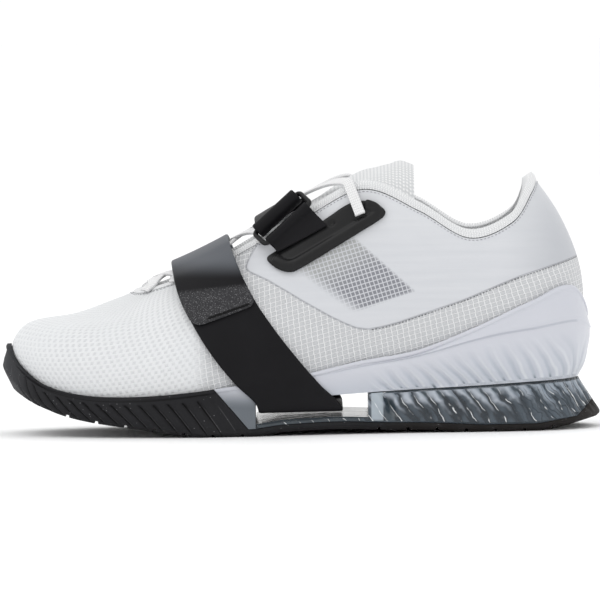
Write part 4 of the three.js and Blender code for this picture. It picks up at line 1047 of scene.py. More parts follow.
def addUpper():
    station = np.arange(0, fullTurn, 1 / 17)
    rim, end = rimShare(station), bindingShare(station)
    inCup, above = 10, 84
    shares = [rim * k / inCup for k in range(inCup)]
    shares += [mix(rim, end, k / above) for k in range(above + 1)]
    shares = np.stack(shares, 0)
    wide = np.broadcast_to(station, shares.shape)
    bare = offSkin(wide, shares, 0.0)
    depth = creaseDepth(bare.reshape(-1, 3)).reshape(shares.shape)
    fade = ease((shares - rim) / 0.08) * ease((end - shares) / 0.08)
    outer = offSkin(wide, shares, -depth * fade)
    keep = list(range(0, inCup + above + 1, 3))
    if keep[-1] != inCup + above:
        keep.append(inCup + above)
    innerShares = shares[keep][::-1]
    innerWide = np.broadcast_to(station, innerShares.shape)
    inner = offSkin(innerWide, innerShares, -wallAt(innerWide, innerShares) - (depth * fade)[keep][::-1])
    grid = np.concatenate([outer, inner], 0)
    rows = len(grid)
    u = np.concatenate([[0], np.cumsum(np.linalg.norm(np.diff(footEdge(np.append(station, fullTurn)), axis=0), axis=1))])
    lengths = profileLength(station)
    v = np.concatenate([shares, innerShares], 0) * lengths
    maps = np.zeros((rows + 1, len(station) + 1, 2))
    maps[..., 0] = u
    maps[:rows, :-1, 1], maps[:rows, -1, 1] = v, v[:, 0]
    maps[rows] = maps[0]
    points = grid.reshape(-1, 3)
    marks = {"film": insideOf(points[:, [0, 2]], filmOutline), "window": insideOf(points[:, [0, 2]], windowOutline)}
    piece = gridPiece("mesh_upper", grid, upperLook(), True, True, maps, marks, 50)
    standsFor(piece, "mesh", "upper")


addUpper()
print("upper")


def knitLook(name, color, shade, pitch):
    look = Look(name)
    vector, x, y, z = look.place()
    uv, u, v = look.uv()
    rib = (u / pitch * (2 * math.pi) + (v * 2.2).sine() * 0.8).sine() * 0.5 + 0.5
    loops = (v / (pitch * 0.8) * (2 * math.pi)).sine() * 0.5 + 0.5
    fine = look.noise(vector, 1.8, 2.0)
    # painted shade: the knit is darker in the hollows between its ribs and loops
    cloth = look.blend(rib * loops, shade, color)
    height = rib * 0.35 + loops * 0.12 + fine * 0.1
    return look.finish(cloth, 0.88, height, 0.6, **{"Sheen Weight": 0.25, "Sheen Roughness": 0.5})


def addBinding():
    station = np.arange(0, fullTurn, 1 / 20)
    start = bindingShare(station) + size["bindingGap"] / profileLength(station)
    section = []
    steps = 9
    for k in range(steps + 1):
        turn = math.pi * k / steps
        section.append((0.95 * k / steps, 0.4 + 0.6 * math.sin(turn), 0))
    section += [(up, out, 1) for up, out, _ in reversed(section)]
    rings = []
    for up, out, inside in section:
        share = mix(start, 1, up)
        swell = out * size["bindingSwell"]
        rings.append(offSkin(station, share, -wallAt(station, share) - swell if inside else swell))
    grid = np.stack(rings, 0)
    u = np.concatenate([[0], np.cumsum(np.linalg.norm(np.diff(topEdge(np.append(station, fullTurn)), axis=0), axis=1))])
    maps = np.zeros((len(grid) + 1, len(station) + 1, 2))
    maps[..., 0] = u
    maps[..., 1] = np.linspace(0, 12, len(grid) + 1)[:, None]
    look = knitLook("collarKnit", (0.9, 0.9, 0.9), (0.66, 0.67, 0.68), 1.3)
    standsFor(gridPiece("knit_binding", grid, look, True, True, maps, None, 60), "knit", "collar_binding")


def addInsole():
    station = np.arange(0, fullTurn, 1 / 8)
    foot = footEdge(station)
    rings = []
    for rise, inset in ((0, 0.5), (0.4, 0), (size["insole"] - 0.6, 0), (size["insole"], 0.7)):
        share = shareAtHeight(station, foot[:, 2] + rise)
        point = offSkin(station, share, -(size["wall"] + size["fitGap"] + inset))
        point[:, 2] = foot[:, 2] + rise
        rings.append(point)
    grid = np.stack(rings, 0)
    look = Look("insoleCloth")
    vector, x, y, z = look.place()
    weave = (x * 4.2).sine() * (y * 4.2).sine()
    color = look.blend(weave * 0.5 + 0.5, (0.6, 0.61, 0.62), (0.72, 0.73, 0.74))
    material = look.finish(color, 0.9, weave, 0.2)
    rows, count = grid.shape[:2]
    points = grid.reshape(-1, 3)
    faces, _ = gridFaces(rows, count, False, True)
    lids = []
    for base in (0, (rows - 1) * count):
        for i in range(count // 2):
            quad = (base + i, base + i + 1, base + (count - i - 1) % count, base + (count - i) % count)
            lids.append(tuple(dict.fromkeys(quad)))
    mesh = bpy.data.meshes.new("insole")
    mesh.from_pydata((points * mm).tolist(), [], faces.tolist() + lids)
    work = bmesh.new()
    work.from_mesh(mesh)
    bmesh.ops.recalc_face_normals(work, faces=work.faces)
    work.to_mesh(mesh)
    work.free()
    standsFor(addPiece("cloth_insole", mesh, material, 40), "foam", "insole")


def addTongue():
    rows, across = 90, 44
    station = np.linspace(tongueRows["station"][0], tongueRows["station"][-1], rows)
    inset = wallAt(station, 1.0) + size["bindingSwell"] + size["tongueGap"]
    edge = levelCurve(tongueRows["station"], tongueRows["edge"], station)
    face = []
    for t in (0, 0.33, 0.66):
        face.append(offSkin(station, mix(edge, (edge + 1) / 2, t / 0.66 * 1.0), -inset))
    for w in np.linspace(-1, 1, across):
        face.append(overThroat(station, np.full_like(station, w), -inset, tongueCrown(station)))
    other = fullTurn - station
    for t in (0.66, 0.33, 0):
        face.append(offSkin(other, mix(edge, (edge + 1) / 2, t / 0.66 * 1.0), -inset))
    face = np.stack(face, 1)
    along = np.gradient(face, axis=0)
    wide = np.gradient(face, axis=1)
    normal = unit(np.cross(along, wide))
    if normal[rows // 2, len(normal[0]) // 2, 2] < 0:
        normal = -normal
    # rounded front and back edges: the sheet thins out over its last rows
    reach = np.minimum(np.arange(rows), np.arange(rows)[::-1])
    swell = np.sqrt(np.clip(reach / 4, 0.06, 1))
    thick = size["tongue"] * swell[:, None, None]
    middle = face - normal * size["tongue"] / 2
    top = middle + normal * thick / 2
    under = (middle - normal * thick / 2)[:, ::-1]
    ring = np.concatenate([top, under], 1).transpose(1, 0, 2)
    lengthAlong = np.linspace(0, 165, rows)
    maps = np.zeros((ring.shape[0] + 1, rows + 1, 2))
    maps[..., 0] = np.linspace(0, 140, ring.shape[0] + 1)[:, None]
    maps[:, :rows, 1] = lengthAlong
    look = knitLook("tongueKnit", (0.84, 0.84, 0.84), (0.58, 0.59, 0.6), 1.7)
    piece = gridPiece("knit_tongue", ring, look, True, False, maps, None, 60)
    standsFor(piece, "knit", "tongue")


addBinding()
addInsole()
addTongue()
print("binding, insole and tongue")


# Straps: bands laid on a form grown from the shoe, found by rays from the side and from above

laceRise = size["bindingSwell"] + size["laceGap"]
laceRoom = laceRise + size["lace"] + 0.4


def coverTree(distance, lift=0.0):
    station = np.arange(0, fullTurn, 1 / 8)
    levels, out = soleSide(station), outward(station)
    grown = lambda level: levels[:, level] + out * distance
    bottom = grown(3)
    bottom[:, 2] = np.minimum(size["heel"] * size["strapLevel"] + lift, levels[:, 4, 2] - 1)
    rings = [bottom, grown(4), grown(5), grown(8), grown(10), grown(11)]
    rim = rimShare(station)
    for r in np.linspace(1, 7, 25):
        share = mix(rim + 0.02, 1, r / 7)
        overLip = size["lip"] * 0.6 * (1 - ease((r - 1) / 2))
        rings.append(offSkin(station, share, distance + overLip + laceRoom * ease((share - 0.66) / 0.2)))
    grid = np.stack(rings, 0)
    faces, _ = gridFaces(*grid.shape[:2], False, True)
    half = len(station) // 2
    left = grid[-1][:half + 1]
    right = grid[-1][(-np.arange(half + 1)) % len(station)]
    bridge = []
    for t in np.linspace(0, 1, 17):
        row = mix(left, right, t)
        row[:, 2] += (tongueCrown(station[:half + 1]) + size["lace"]) * (1 - abs(2 * t - 1) ** 2.4)
        bridge.append(row)
    bridge = np.stack(bridge, 0)
    more, _ = gridFaces(*bridge.shape[:2], False, False)
    points = np.concatenate([grid.reshape(-1, 3), bridge.reshape(-1, 3)])
    faces = np.concatenate([faces, more + grid.shape[0] * grid.shape[1]])
    return BVHTree.FromPolygons(points.tolist(), faces.tolist())


def sideHit(tree, x, z, side):
    hit = tree.ray_cast(Vector((x, side * 150, z)), Vector((0, -side, 0)))[0]
    return None if hit is None else hit.y


def topHit(tree, x, y):
    hit = tree.ray_cast(Vector((x, y, 250)), Vector((0, 0, -1)))[0]
    return None if hit is None else hit.z


def sectionPath(tree, xAt, lowLateral, lowMedial, turnY=22.0, steps=70):  # lateral foot, over the top, medial foot
    def topPoint(y):
        z = 100.0
        for _ in range(14):
            found = topHit(tree, xAt(z), y)
            z = z if found is None else 0.5 * z + 0.5 * found
        return (xAt(z), y, z)

    path = []
    for side, low in ((-1, lowLateral), (1, lowMedial)):
        if low is None:
            continue
        high = topPoint(side * turnY)[2]
        part = []
        for z in np.linspace(low, high, steps)[:-1]:
            y = sideHit(tree, xAt(z), z, side)
            if y is not None:
                part.append((xAt(z), y, z))
        path.append(part)
    across = [topPoint(y) for y in np.linspace(-turnY, turnY, 50)]
    if lowLateral is None:
        return np.array([*across, *path[0][::-1]])
    if lowMedial is None:
        return np.array([*path[0], *across])
    return np.array([*path[0], *across, *path[1][::-1]])


def resampled(path, count):
    walked = np.concatenate([[0], np.cumsum(np.linalg.norm(np.diff(path, axis=0), axis=1))])
    at = np.linspace(0, walked[-1], count)
    return np.stack([np.interp(at, walked, path[:, k]) for k in range(3)], -1)


def smoothed(points, rounds, closed=False):  # evens out a grid along its first direction
    for _ in range(rounds):
        ahead, behind = np.roll(points, -1, 0), np.roll(points, 1, 0)
        even = 0.5 * points + 0.25 * (ahead + behind)
        if not closed:
            even[0], even[-1] = points[0], points[-1]
        points = even
    return points


acrossShares = np.array([0, 0.012, 0.03, 0.08, 0.16, 0.26, 0.38, 0.5, 0.62, 0.74, 0.84, 0.92, 0.97, 0.988, 1.0])


def bandPiece(name, face, thickness, material, closed=False, sharp=60):
    along = np.gradient(face, axis=0)
    if closed:
        along = np.roll(face, -1, 0) - np.roll(face, 1, 0)
    normal = unit(np.cross(along, np.gradient(face, axis=1)))
    centre = face.reshape(-1, 3).mean(0)
    if (normal * (face - centre)).sum() < 0:
        normal = -normal
    rows, columns = face.shape[:2]
    outer, inner = np.zeros(columns), np.ones(columns)
    outer[[0, -1]], inner[[0, -1]] = 0.35, 0.65
    outer[[1, -2]], inner[[1, -2]] = 0.1, 0.9
    top = face - normal * (outer * thickness)[None, :, None]
    under = (face - normal * (inner * thickness)[None, :, None])[:, ::-1]
    if not closed:  # ends rounded like the sides
        middle = face - normal * thickness / 2
        for end, share in ((0, 0.3), (-1, 0.3)):
            top[end] = mix(middle[end], top[end], share)
            under[end] = mix(middle[end][::-1], under[end], share)
    grid = np.concatenate([top, under], 1)
    lengths = np.concatenate([[0], np.cumsum(np.linalg.norm(np.diff(face[:, columns // 2], axis=0), axis=1))])
    width = np.linalg.norm(face[rows // 2, -1] - face[rows // 2, 0])
    maps = np.zeros((rows + 1, 2 * columns + 1, 2))
    across = np.concatenate([acrossShares[:columns], acrossShares[:columns][::-1]]) * width if columns == len(
        acrossShares) else np.linspace(0, 2 * width, 2 * columns)
    maps[..., :-1, 0], maps[..., -1, 0] = across, across[0]
    maps[:rows, :, 1] = lengths[:, None]
    maps[rows, :, 1] = lengths[-1] + 1
    return gridPiece(name, grid, material, closed, True, maps, None, sharp)


def edgeLine(points):  # x of an edge in side view for a height
    ups, alongs = zip(*points)
    return lambda z: float(levelCurve(ups, alongs, z))


strapFront = edgeLine(list(zip(strapEdges["frontUp"] * size["collar"], alongX(strapEdges["frontAlong"]))))
strapBack = edgeLine(list(zip(strapEdges["backUp"] * size["collar"], alongX(strapEdges["backAlong"]))))


def webbingLook(name, hook=False, paintedTopLight=False):
    look = Look(name)
    vector, x, y, z = look.place()
    uv, u, v = look.uv()
    fine = look.noise(vector, 2.6, 3.0)
    cloud = look.noise(vector, 0.05, 2.0)
    body = look.blend(cloud, (0.0042, 0.004, 0.005), (0.0078, 0.0075, 0.009))
    if paintedTopLight:  # painted light: the top of the strap is paler, as where light falls from above
        body = look.blend(z.soft(78, 88), body, (0.098, 0.105, 0.118))
    height, rough = fine * 0.12, 0.46 + fine * 0.14
    if hook:
        below = 1 - (z - (x * 0.109 + 78.1)).soft(-1.5, 1.5)
        onSide = below * (1 - y.soft(-12, -8))
        pile = look.node("ShaderNodeTexVoronoi", {"feature": "F1"}, {"Vector": vector, "Scale": 1.5})
        near = Wire(look, pile.outputs["Distance"])
        tint = Wire(look, look.node("ShaderNodeSeparateColor", None, {0: pile.outputs["Color"]}).outputs[0])
        dots = (1 - near.soft(0.1, 0.5)) * tint
        line = abs(z - (x * 0.33 + 74.2)).soft(0.35, 0.9)
        ends = x.soft(-47, -45) * (1 - x.soft(-26, -24))
        pressed = (1 - line) * ends * onSide
        rough = rough + onSide * 0.3
        lit = look.blend(onSide * 0.85, body, (0.042, 0.042, 0.045))
        body = look.blend(onSide * dots * 0.9, lit, (0.30, 0.30, 0.31))
        body = look.blend(pressed * 0.9, body, (0.003, 0.003, 0.003))
        height = height + onSide * dots * 0.9 - pressed * 1.2
    return look.finish(body, rough, height, 0.6, **{"Specular IOR Level": 0.13})


def addMidfootStrap():
    t = size["strap"]
    tree = coverTree(size["strapGap"] + t)
    bottom = size["heel"] * size["strapLevel"]
    columns = []
    for w in acrossShares:
        xAt = lambda z, w=w: mix(strapFront(z), strapBack(z), w)
        path = sectionPath(tree, xAt, bottom + 2.2, bottom + 2.2)
        lateral, medial = path[0], path[-1]
        turn = np.linspace(0, math.pi / 2, 7)[1:]
        near = [(xAt(bottom), lateral[1] + 2 * (1 - math.cos(a)) * 0.9, bottom + 2.2 * (1 - math.sin(a))) for a in turn]
        far = [(xAt(bottom), medial[1] - 2 * (1 - math.cos(a)) * 0.9, bottom + 2.2 * (1 - math.sin(a))) for a in turn]
        under = [(xAt(bottom), y, bottom) for y in np.linspace(near[-1][1], far[-1][1], 30)[1:-1]]
        loop = np.array([*under[::-1][len(under) // 2:], *near[::-1], *path, *far, *under[::-1][:len(under) // 2]])
        columns.append(resampled(np.vstack([loop, loop[:1]]), 301)[:-1])
    face = smoothed(np.stack(columns, 1), 3, True)
    piece = bandPiece("webbing_midfoot", face, t, webbingLook("blackWebbing", False, True), True)
    standsFor(piece, "webbing", "midfoot_strap")


tabSettings = {"front": 55.0, "back": 65.8, "corner": 4.0, "medialEnd": 38.8}


def addMidfootTab():
    t = size["strap"]
    tree = coverTree(size["strapGap"] + 2 * t + size["fitGap"])
    width = 31.0
    columns = []
    for w in acrossShares:
        xAt = lambda z, w=w: mix(strapFront(z), strapBack(z), w)
        edge = min(w, 1 - w) * width
        corner = tabSettings["corner"]
        inset = corner - math.sqrt(corner**2 - (corner - edge) ** 2) if edge < corner else 0
        low = mix(tabSettings["front"], tabSettings["back"], w) + inset
        path = sectionPath(tree, xAt, low, tabSettings["medialEnd"])
        columns.append(resampled(path, 170))
    face = smoothed(np.stack(columns, 1), 3)
    piece = bandPiece("webbing_tab", face, t, webbingLook("blackTab", True, True))
    standsFor(piece, "webbing", "midfoot_tab")


ankleSettings = {"front": [(90.1, -4.8), (96.4, -9.5), (103, -22), (130, -24)],
                 "back": [(100, 19), (103.3, 17.9), (111.5, 8.9), (118.5, 0), (130, -1)], "low": (90.3, 103.3)}


def addAnkleStrap():
    t = size["strap"]
    tree = coverTree(size["plateGap"] + size["plate"] + size["fitGap"] + t)
    front, back = edgeLine(ankleSettings["front"]), edgeLine(ankleSettings["back"])
    columns = []
    for w in acrossShares:
        xAt = lambda z, w=w: mix(front(z), back(z), w)
        path = sectionPath(tree, xAt, None, mix(*ankleSettings["low"], w), 20.6)
        columns.append(resampled(path, 120))
    face = smoothed(np.stack(columns, 1), 3)
    standsFor(bandPiece("webbing_ankle", face, t, webbingLook("ankleWebbing")), "webbing", "ankle_strap")


addMidfootStrap()
addMidfootTab()
addAnkleStrap()
print("straps")


# Ring, roll and anchor, made in the ring's own frame: x along it, y down the side, z into the shoe

ringSettings = {"station": 6.62, "share": 0.95, "lift": 7.4, "turn": 0.32, "length": 33, "width": 13, "bar": 2.5,
                "corner": 2.6, "rollRoom": 0.6, "rollHeight": 9.4, "rollWidth": 8.4}


def ringFrame():
    s = ringSettings
    station, share, step = np.array([s["station"]]), np.array([s["share"]]), 0.2
    away = skinNormal(station, share)[0]
    along = (skin(station + step, np.array([1.0])) - skin(station - step, np.array([1.0])))[0]
    along = unit(along - away * (along @ away))
    along = np.array(Matrix.Rotation(s["turn"], 3, Vector(away)) @ Vector(along))
    down = np.cross(along, away)
    origin = offSkin(station, share, s["lift"])[0]
    return np.stack([along, down, np.cross(along, down)], 1), origin


ringAxes, ringOrigin = ringFrame()


def fromRing(points):
    return np.asarray(points, float) @ ringAxes.T + ringOrigin


def roundedLoop(length, width, corner, steps=8):
    points = []
    for k, (cx, cy) in enumerate(((1, -1), (1, 1), (-1, 1), (-1, -1))):
        for a in np.linspace(0, math.pi / 2, steps):
            turn = -math.pi / 2 + k * math.pi / 2 + a
            points.append((cx * (length / 2 - corner) + corner * math.cos(turn),
                           cy * (width / 2 - corner) + corner * math.sin(turn)))
    return np.array(points)


def hardLook(name, tint=0.006):
    look = Look(name)
    vector, x, y, z = look.place()
    fine = look.noise(vector, 3.0, 3.0)
    cloud = look.noise(vector, 0.12, 3.0)
    color = look.blend(cloud, (tint * 0.8, tint * 0.8, tint * 0.85), (tint * 1.4, tint * 1.4, tint * 1.5))
    return look.finish(color, 0.3 + cloud * 0.16, fine, 0.12, **{"Specular IOR Level": 0.24, "Coat Weight": 0.04})


def addRing():
    s = ringSettings
    bar = s["bar"] / 2
    path = roundedLoop(s["length"] - s["bar"], s["width"] - s["bar"], s["corner"] - bar * 0.5)
    centre = np.concatenate([path, np.zeros((len(path), 1))], 1)
    along = unit(np.roll(centre, -1, 0) - np.roll(centre, 1, 0))
    side = np.cross(along, np.array([0, 0, 1.0]))
    rings = []
    for a in np.linspace(0, 2 * math.pi, 16, endpoint=False):
        rings.append(centre + side * bar * math.cos(a) + np.array([0, 0, 1.0]) * bar * math.sin(a))
    grid = fromRing(np.stack(rings, 0))
    standsFor(gridPiece("moulded_ring", grid, hardLook("ringPlastic"), True, True, None, None, 60), "hard_black", "ankle_ring")


def extrudedBand(name, path, halfLengths, thickness, material):  # a band along x whose section follows a path
    path = np.asarray(path, float)
    dense = resampled(np.concatenate([path, np.zeros((len(path), 1))], 1), 90)[:, :2]
    dense = smoothed(dense, 4)
    shares = acrossShares
    rows = []
    for i, (y, z) in enumerate(dense):
        low, high = halfLengths(i / (len(dense) - 1))
        rows.append([(mix(low, high, w), y, z) for w in shares])
    face = fromRing(np.array(rows))
    return bandPiece(name, face, thickness, material)


def addRoll():
    s = ringSettings
    half = s["length"] / 2 - s["bar"] - s["rollRoom"]
    centre = -(s["width"] - s["bar"]) / 2
    path = []
    for a in np.linspace(-0.35 * math.pi, 3.1 * math.pi, 60):
        shrink = mix(1.0, 0.52, (a + 0.35 * math.pi) / (3.45 * math.pi))
        path.append((centre + s["rollWidth"] / 2 * shrink * math.cos(a), -s["rollHeight"] / 2 * shrink * math.sin(a)))
    material = webbingLook("rollWebbing")
    piece = extrudedBand("webbing_roll", path[::-1], lambda t: (-half, half), 1.4, material)
    standsFor(piece, "webbing", "ankle_roll")


def addAnchor():
    s = ringSettings
    skinTree = upperTree()
    centre = (s["width"] - s["bar"]) / 2
    half = s["length"] / 2 - s["bar"] - 0.5
    rows = []
    count = 60
    inward = ringAxes[:, 2]
    for w in acrossShares:
        x = mix(-half, half, w)
        end = mix(11.5, 18.0, w)   # the lower edge runs along the plate's rim

        def over(y, rise):
            start = fromRing((x, y, -40))
            hit, normal, _, _ = skinTree.ray_cast(Vector(start), Vector(inward))
            depth = (Vector(hit) - Vector(start)).length - 40
            return (y, depth - rise)

        base = over(end, 2.9 + 1.6)
        path = [base, over(mix(end, centre, 0.35), 4.9), (centre + 3.4, mix(base[1], 0, 0.62)),
                (centre + 2.6, -1.6), (centre + 0.9, -2.9), (centre - 1.2, -2.7), (centre - 2.3, -0.9),
                (centre - 2.0, 1.2), (centre - 0.3, 2.5), (centre + 2.0, 3.0)]
        dense = resampled(np.concatenate([np.array(path), np.zeros((len(path), 1))], 1), count)[:, :2]
        dense = smoothed(dense, 8)
        rows.append(fromRing(np.concatenate([np.full((count, 1), x), dense], 1)))
    face = np.stack(rows, 1)
    standsFor(bandPiece("webbing_anchor", face, 1.4, webbingLook("anchorWebbing")), "webbing", "ankle_anchor")


def upperTree():
    station = np.arange(0, fullTurn, 1 / 8)
    grid = np.stack([offSkin(station, np.full_like(station, share), 0.0) for share in np.linspace(0.2, 1, 50)], 0)
    faces, _ = gridFaces(*grid.shape[:2], False, True)
    return BVHTree.FromPolygons(grid.reshape(-1, 3).tolist(), faces.tolist())


addRing()
addRoll()
addAnchor()
print("ring, roll and anchor")


# Eyestay plates: flat mouldings, joined by a voxel remesh and bent onto the upper's side

plateOutline = [(0.446, 0.694), (0.45, 0.677), (0.466, 0.65), (0.482, 0.64), (0.496, 0.647), (0.598, 0.79), (0.638, 0.845),
                (0.645, 0.866), (0.642, 0.882), (0.63, 0.903), (0.612, 0.916), (0.596, 0.911), (0.58, 0.897),
                (0.553, 0.852), (0.5, 0.77), (0.466, 0.72)]
plateRidge = [(0.459, 0.69), (0.468, 0.674), (0.481, 0.661), (0.492, 0.667), (0.5935, 0.808), (0.631, 0.861),
              (0.635, 0.873), (0.628, 0.892), (0.612, 0.902)]
plateSlot = [(0.5906, 0.8307), (0.6094, 0.8511), (0.606, 0.868), (0.587, 0.848)]
plateEyelet = {"place": (0.556, 0.826), "wide": 2.2, "tall": 1.5, "lean": 0.6}
plateSettings = {"base": 1.6, "ridge": 2.6, "voxel": 0.5}


def sideView(shares):
    return [(float(alongX(a)), up * size["collar"]) for a, up in shares]


def cornersCut(points, rounds=2):
    for _ in range(rounds):
        new = []
        for (ax, ay), (bx, by) in zip(points, points[1:] + points[:1]):
            new += [(0.75 * ax + 0.25 * bx, 0.75 * ay + 0.25 * by), (0.25 * ax + 0.75 * bx, 0.25 * ay + 0.75 * by)]
        points = new
    return points


def curveMesh(lines, flat, extrude=0.0, bevel=0.0, cyclic=True):
    data = bpy.data.curves.new("outline", "CURVE")
    data.dimensions = "2D" if flat else "3D"
    data.fill_mode = "BOTH" if flat else "FULL"
    data.extrude, data.bevel_depth, data.bevel_resolution = extrude * mm, bevel * mm, 3
    data.use_fill_caps = not flat
    for line in lines:
        spline = data.splines.new("POLY")
        spline.points.add(len(line) - 1)
        for point, place in zip(spline.points, line):
            point.co = (*[c * mm for c in (*place, 0)[:3]], 1)
        spline.use_cyclic_u = cyclic
    made = bpy.data.objects.new("outline", data)
    scene.collection.objects.link(made)
    mesh = bpy.data.meshes.new_from_object(made.evaluated_get(bpy.context.evaluated_depsgraph_get()))
    bpy.data.objects.remove(made)
    return mesh


def remeshed(meshes, voxel, smoothRounds=4):
    work = bmesh.new()
    for mesh in meshes:
        work.from_mesh(mesh)
    bmesh.ops.remove_doubles(work, verts=work.verts, dist=1e-6)
    mesh = bpy.data.meshes.new("joined")
    work.to_mesh(mesh)
    work.free()
    made = bpy.data.objects.new("joined", mesh)
    scene.collection.objects.link(made)
    remesh = made.modifiers.new("remesh", "REMESH")
    remesh.mode = "VOXEL"
    remesh.voxel_size = voxel * mm
    smooth = made.modifiers.new("smooth", "SMOOTH")
    smooth.factor = 0.5
    smooth.iterations = smoothRounds
    done = bpy.data.meshes.new_from_object(made.evaluated_get(bpy.context.evaluated_depsgraph_get()))
    bpy.data.objects.remove(made)
    return done


def sideFit(tree, outline, side):  # smooth y of the upper's side over an outline
    xs, zs = zip(*outline)
    rows, values = [], []
    for x in np.linspace(min(xs), max(xs), 14):
        for z in np.linspace(min(zs), max(zs), 14):
            if insideOf(np.array([(x, z)]), outline)[0] < -4:
                continue
            y = sideHit(tree, x, z, side)
            if y is not None and abs(y) > 15:
                rows.append([x**i * z**j / 100.0 ** (i + j) for i in range(4) for j in range(4 - i)])
                values.append(y)
    factors = np.linalg.lstsq(np.array(rows), np.array(values), rcond=None)[0]

    def surface(x, z):
        terms = [x**i * z**j / 100.0 ** (i + j) for i in range(4) for j in range(4 - i)]
        return sum(f * term for f, term in zip(factors, terms))
    return surface


def bent(mesh, surface, side, gap):  # the flat piece's thickness becomes the way out of the side
    points = np.empty(len(mesh.vertices) * 3)
    mesh.vertices.foreach_get("co", points)
    points = points.reshape(-1, 3) / mm
    x, z, depth = points.T
    step = 0.5
    slopeX = (surface(x + step, z) - surface(x - step, z)) / (2 * step)
    slopeZ = (surface(x, z + step) - surface(x, z - step)) / (2 * step)
    normal = unit(np.stack([-slopeX, np.ones_like(x), -slopeZ], -1)) * side
    placed = np.stack([x, surface(x, z), z], -1) + normal * (depth + gap)[:, None]
    mesh.vertices.foreach_set("co", (placed * mm).reshape(-1))
    work = bmesh.new()
    work.from_mesh(mesh)
    bmesh.ops.recalc_face_normals(work, faces=work.faces)
    work.to_mesh(mesh)
    work.free()
    return mesh


def raisedBy(mesh, rise):
    mesh.transform(Matrix.Translation((0, 0, rise * mm)))
    return mesh


def addPlates():
    s = plateSettings
    tree = upperTree()
    outline = cornersCut(sideView(plateOutline))
    slot = cornersCut(sideView(plateSlot), 1)
    e = plateEyelet
    cx, cz = sideView([e["place"]])[0]
    eyelet = []
    for a in np.linspace(0, 2 * math.pi, 20, endpoint=False):
        dx, dz = e["wide"] * math.cos(a), e["tall"] * math.sin(a)
        eyelet.append((cx + dx * math.cos(e["lean"]) - dz * math.sin(e["lean"]),
                       cz + dx * math.sin(e["lean"]) + dz * math.cos(e["lean"])))
    material = hardLook("platePlastic", 0.006)
    for side, name, node in ((-1, "moulded_eyestay_lateral", "eyestay_lateral"), (1, "moulded_eyestay_medial", "eyestay_medial")):
        base = raisedBy(curveMesh([outline, slot, eyelet], True, s["base"] / 2 - 0.3, 0.3), s["base"] / 2)
        line = smoothed(resampled(np.array([(px, pz, 0) for px, pz in sideView(plateRidge)]), 70), 8)
        ridge = curveMesh([line], False, 0, s["ridge"], False)
        ridge.transform(Matrix.Scale(0.55, 4, Vector((0, 0, 1))))
        ridge = raisedBy(ridge, s["base"] * 0.98)
        backing = raisedBy(curveMesh([outline], True, 0.2, 0.12), 0.4)
        joined = remeshed([base, backing, ridge], s["voxel"])
        mesh = bent(joined, sideFit(tree, outline, side), side, size["plateGap"])
        standsFor(addPiece(name, mesh, material, 75), "hard_black", node)


addPlates()
print("eyestay plates")


# Lace: flat crossings up the throat, the top one through the lateral plate's slot

laceSettings = {"stations": [2.7, 3.8, 4.9, 6.1, 7.55], "eyeShare": 0.92, "arch": 1.25, "slot": (31.4, 106.8), "topAt": 25.5}


def laceEnd(tree, station, side):  # at its eye in the upper, or through the plate's slot at the top
    at = station if side < 0 else fullTurn - station
    if station < 7:
        return [offSkin(np.array([at]), laceSettings["eyeShare"], laceRise)[0]]
    x, z = laceSettings["slot"]
    y = sideHit(tree, x, z, side)
    rim = offSkin(np.array([at]), 1.0, laceRise + size["bindingSwell"])[0]
    deep, out = np.array([x, y + side * 0.8, z]), np.array([x - 0.3, y + side * 2.9, z + 1.2])
    return [deep, out, mix(out, rim, 0.5) + (0, side * 0.8, 0), rim]


def laceBand(tree, fromStation, toStation, high):
    points = laceEnd(tree, fromStation, -1)
    for w in np.linspace(-1, 1, 15):
        s = np.array([mix(fromStation, toStation, (w + 1) / 2)])
        taut = ease((s - 3.0) / 2.2)  # the front crossings are pulled flat
        rise = laceRise + high * (1 - w * w) * mix(0.85, 1, taut)
        crown = mix(1.04, laceSettings["arch"], taut) * tongueCrown(s) + size["laceGap"]
        points.append(overThroat(s, np.array([w]), rise, crown)[0])
    points += laceEnd(tree, toStation, 1)[::-1]
    path = smoothed(resampled(np.array(points), 80), 3)
    middle = np.array([mix(fromStation, toStation, 0.5)])
    edge = (topEdge(middle + 0.2) - topEdge(middle - 0.2))[0]
    edge[1] = 0
    along = unit(np.gradient(path, axis=0))
    across = unit(edge - along * (along @ edge)[:, None])
    normal = unit(np.cross(along, across))
    normal *= np.where(normal[:, 2:] < 0, -1, 1)
    shares = (acrossShares - 0.5) * size["laceWidth"]
    bow = 0.25 * (1 - (2 * acrossShares - 1) ** 2)
    return path[:, None] + across[:, None] * shares[None, :, None] + normal[:, None] * (size["lace"] + bow)[None, :, None]


def laceLook():
    look = Look("whiteLace")
    vector, x, y, z = look.place()
    uv, u, v = look.uv()
    braid = ((u * 3.2 + v * 2.4).sine() * (u * 3.2 - v * 2.4).sine())
    color = look.blend(braid * 0.5 + 0.5, (0.66, 0.66, 0.67), (0.87, 0.87, 0.87))
    return look.finish(color, 0.8, braid, 0.35, **{"Sheen Weight": 0.2})


def addLace():
    fine = np.linspace(6.6, 10, 300)
    top = float(np.interp(laceSettings["topAt"], topEdge(fine)[:, 0], fine))
    places = laceSettings["stations"][:-1] + [top]
    tree = upperTree()
    runs = [(places[0], places[0], 0.0)]
    for a, b in zip(places, places[1:]):
        runs += [(a, b, 0.0), (b, a, 0.7)]
    material = laceLook()
    work = bmesh.new()
    joinedMesh = bpy.data.meshes.new("lace")
    pieces = [bandPiece("lacePart", laceBand(tree, *run), size["lace"] * 1.2, material) for run in runs]
    for piece in pieces:
        work.from_mesh(piece.data)
        bpy.data.objects.remove(piece)
    work.to_mesh(joinedMesh)
    work.free()
    standsFor(addPiece("flat_lace", joinedMesh, material, 60), "lace_white", "lace")


addLace()
print("lace")


# Stitches along the film's lower edge and under the collar's binding

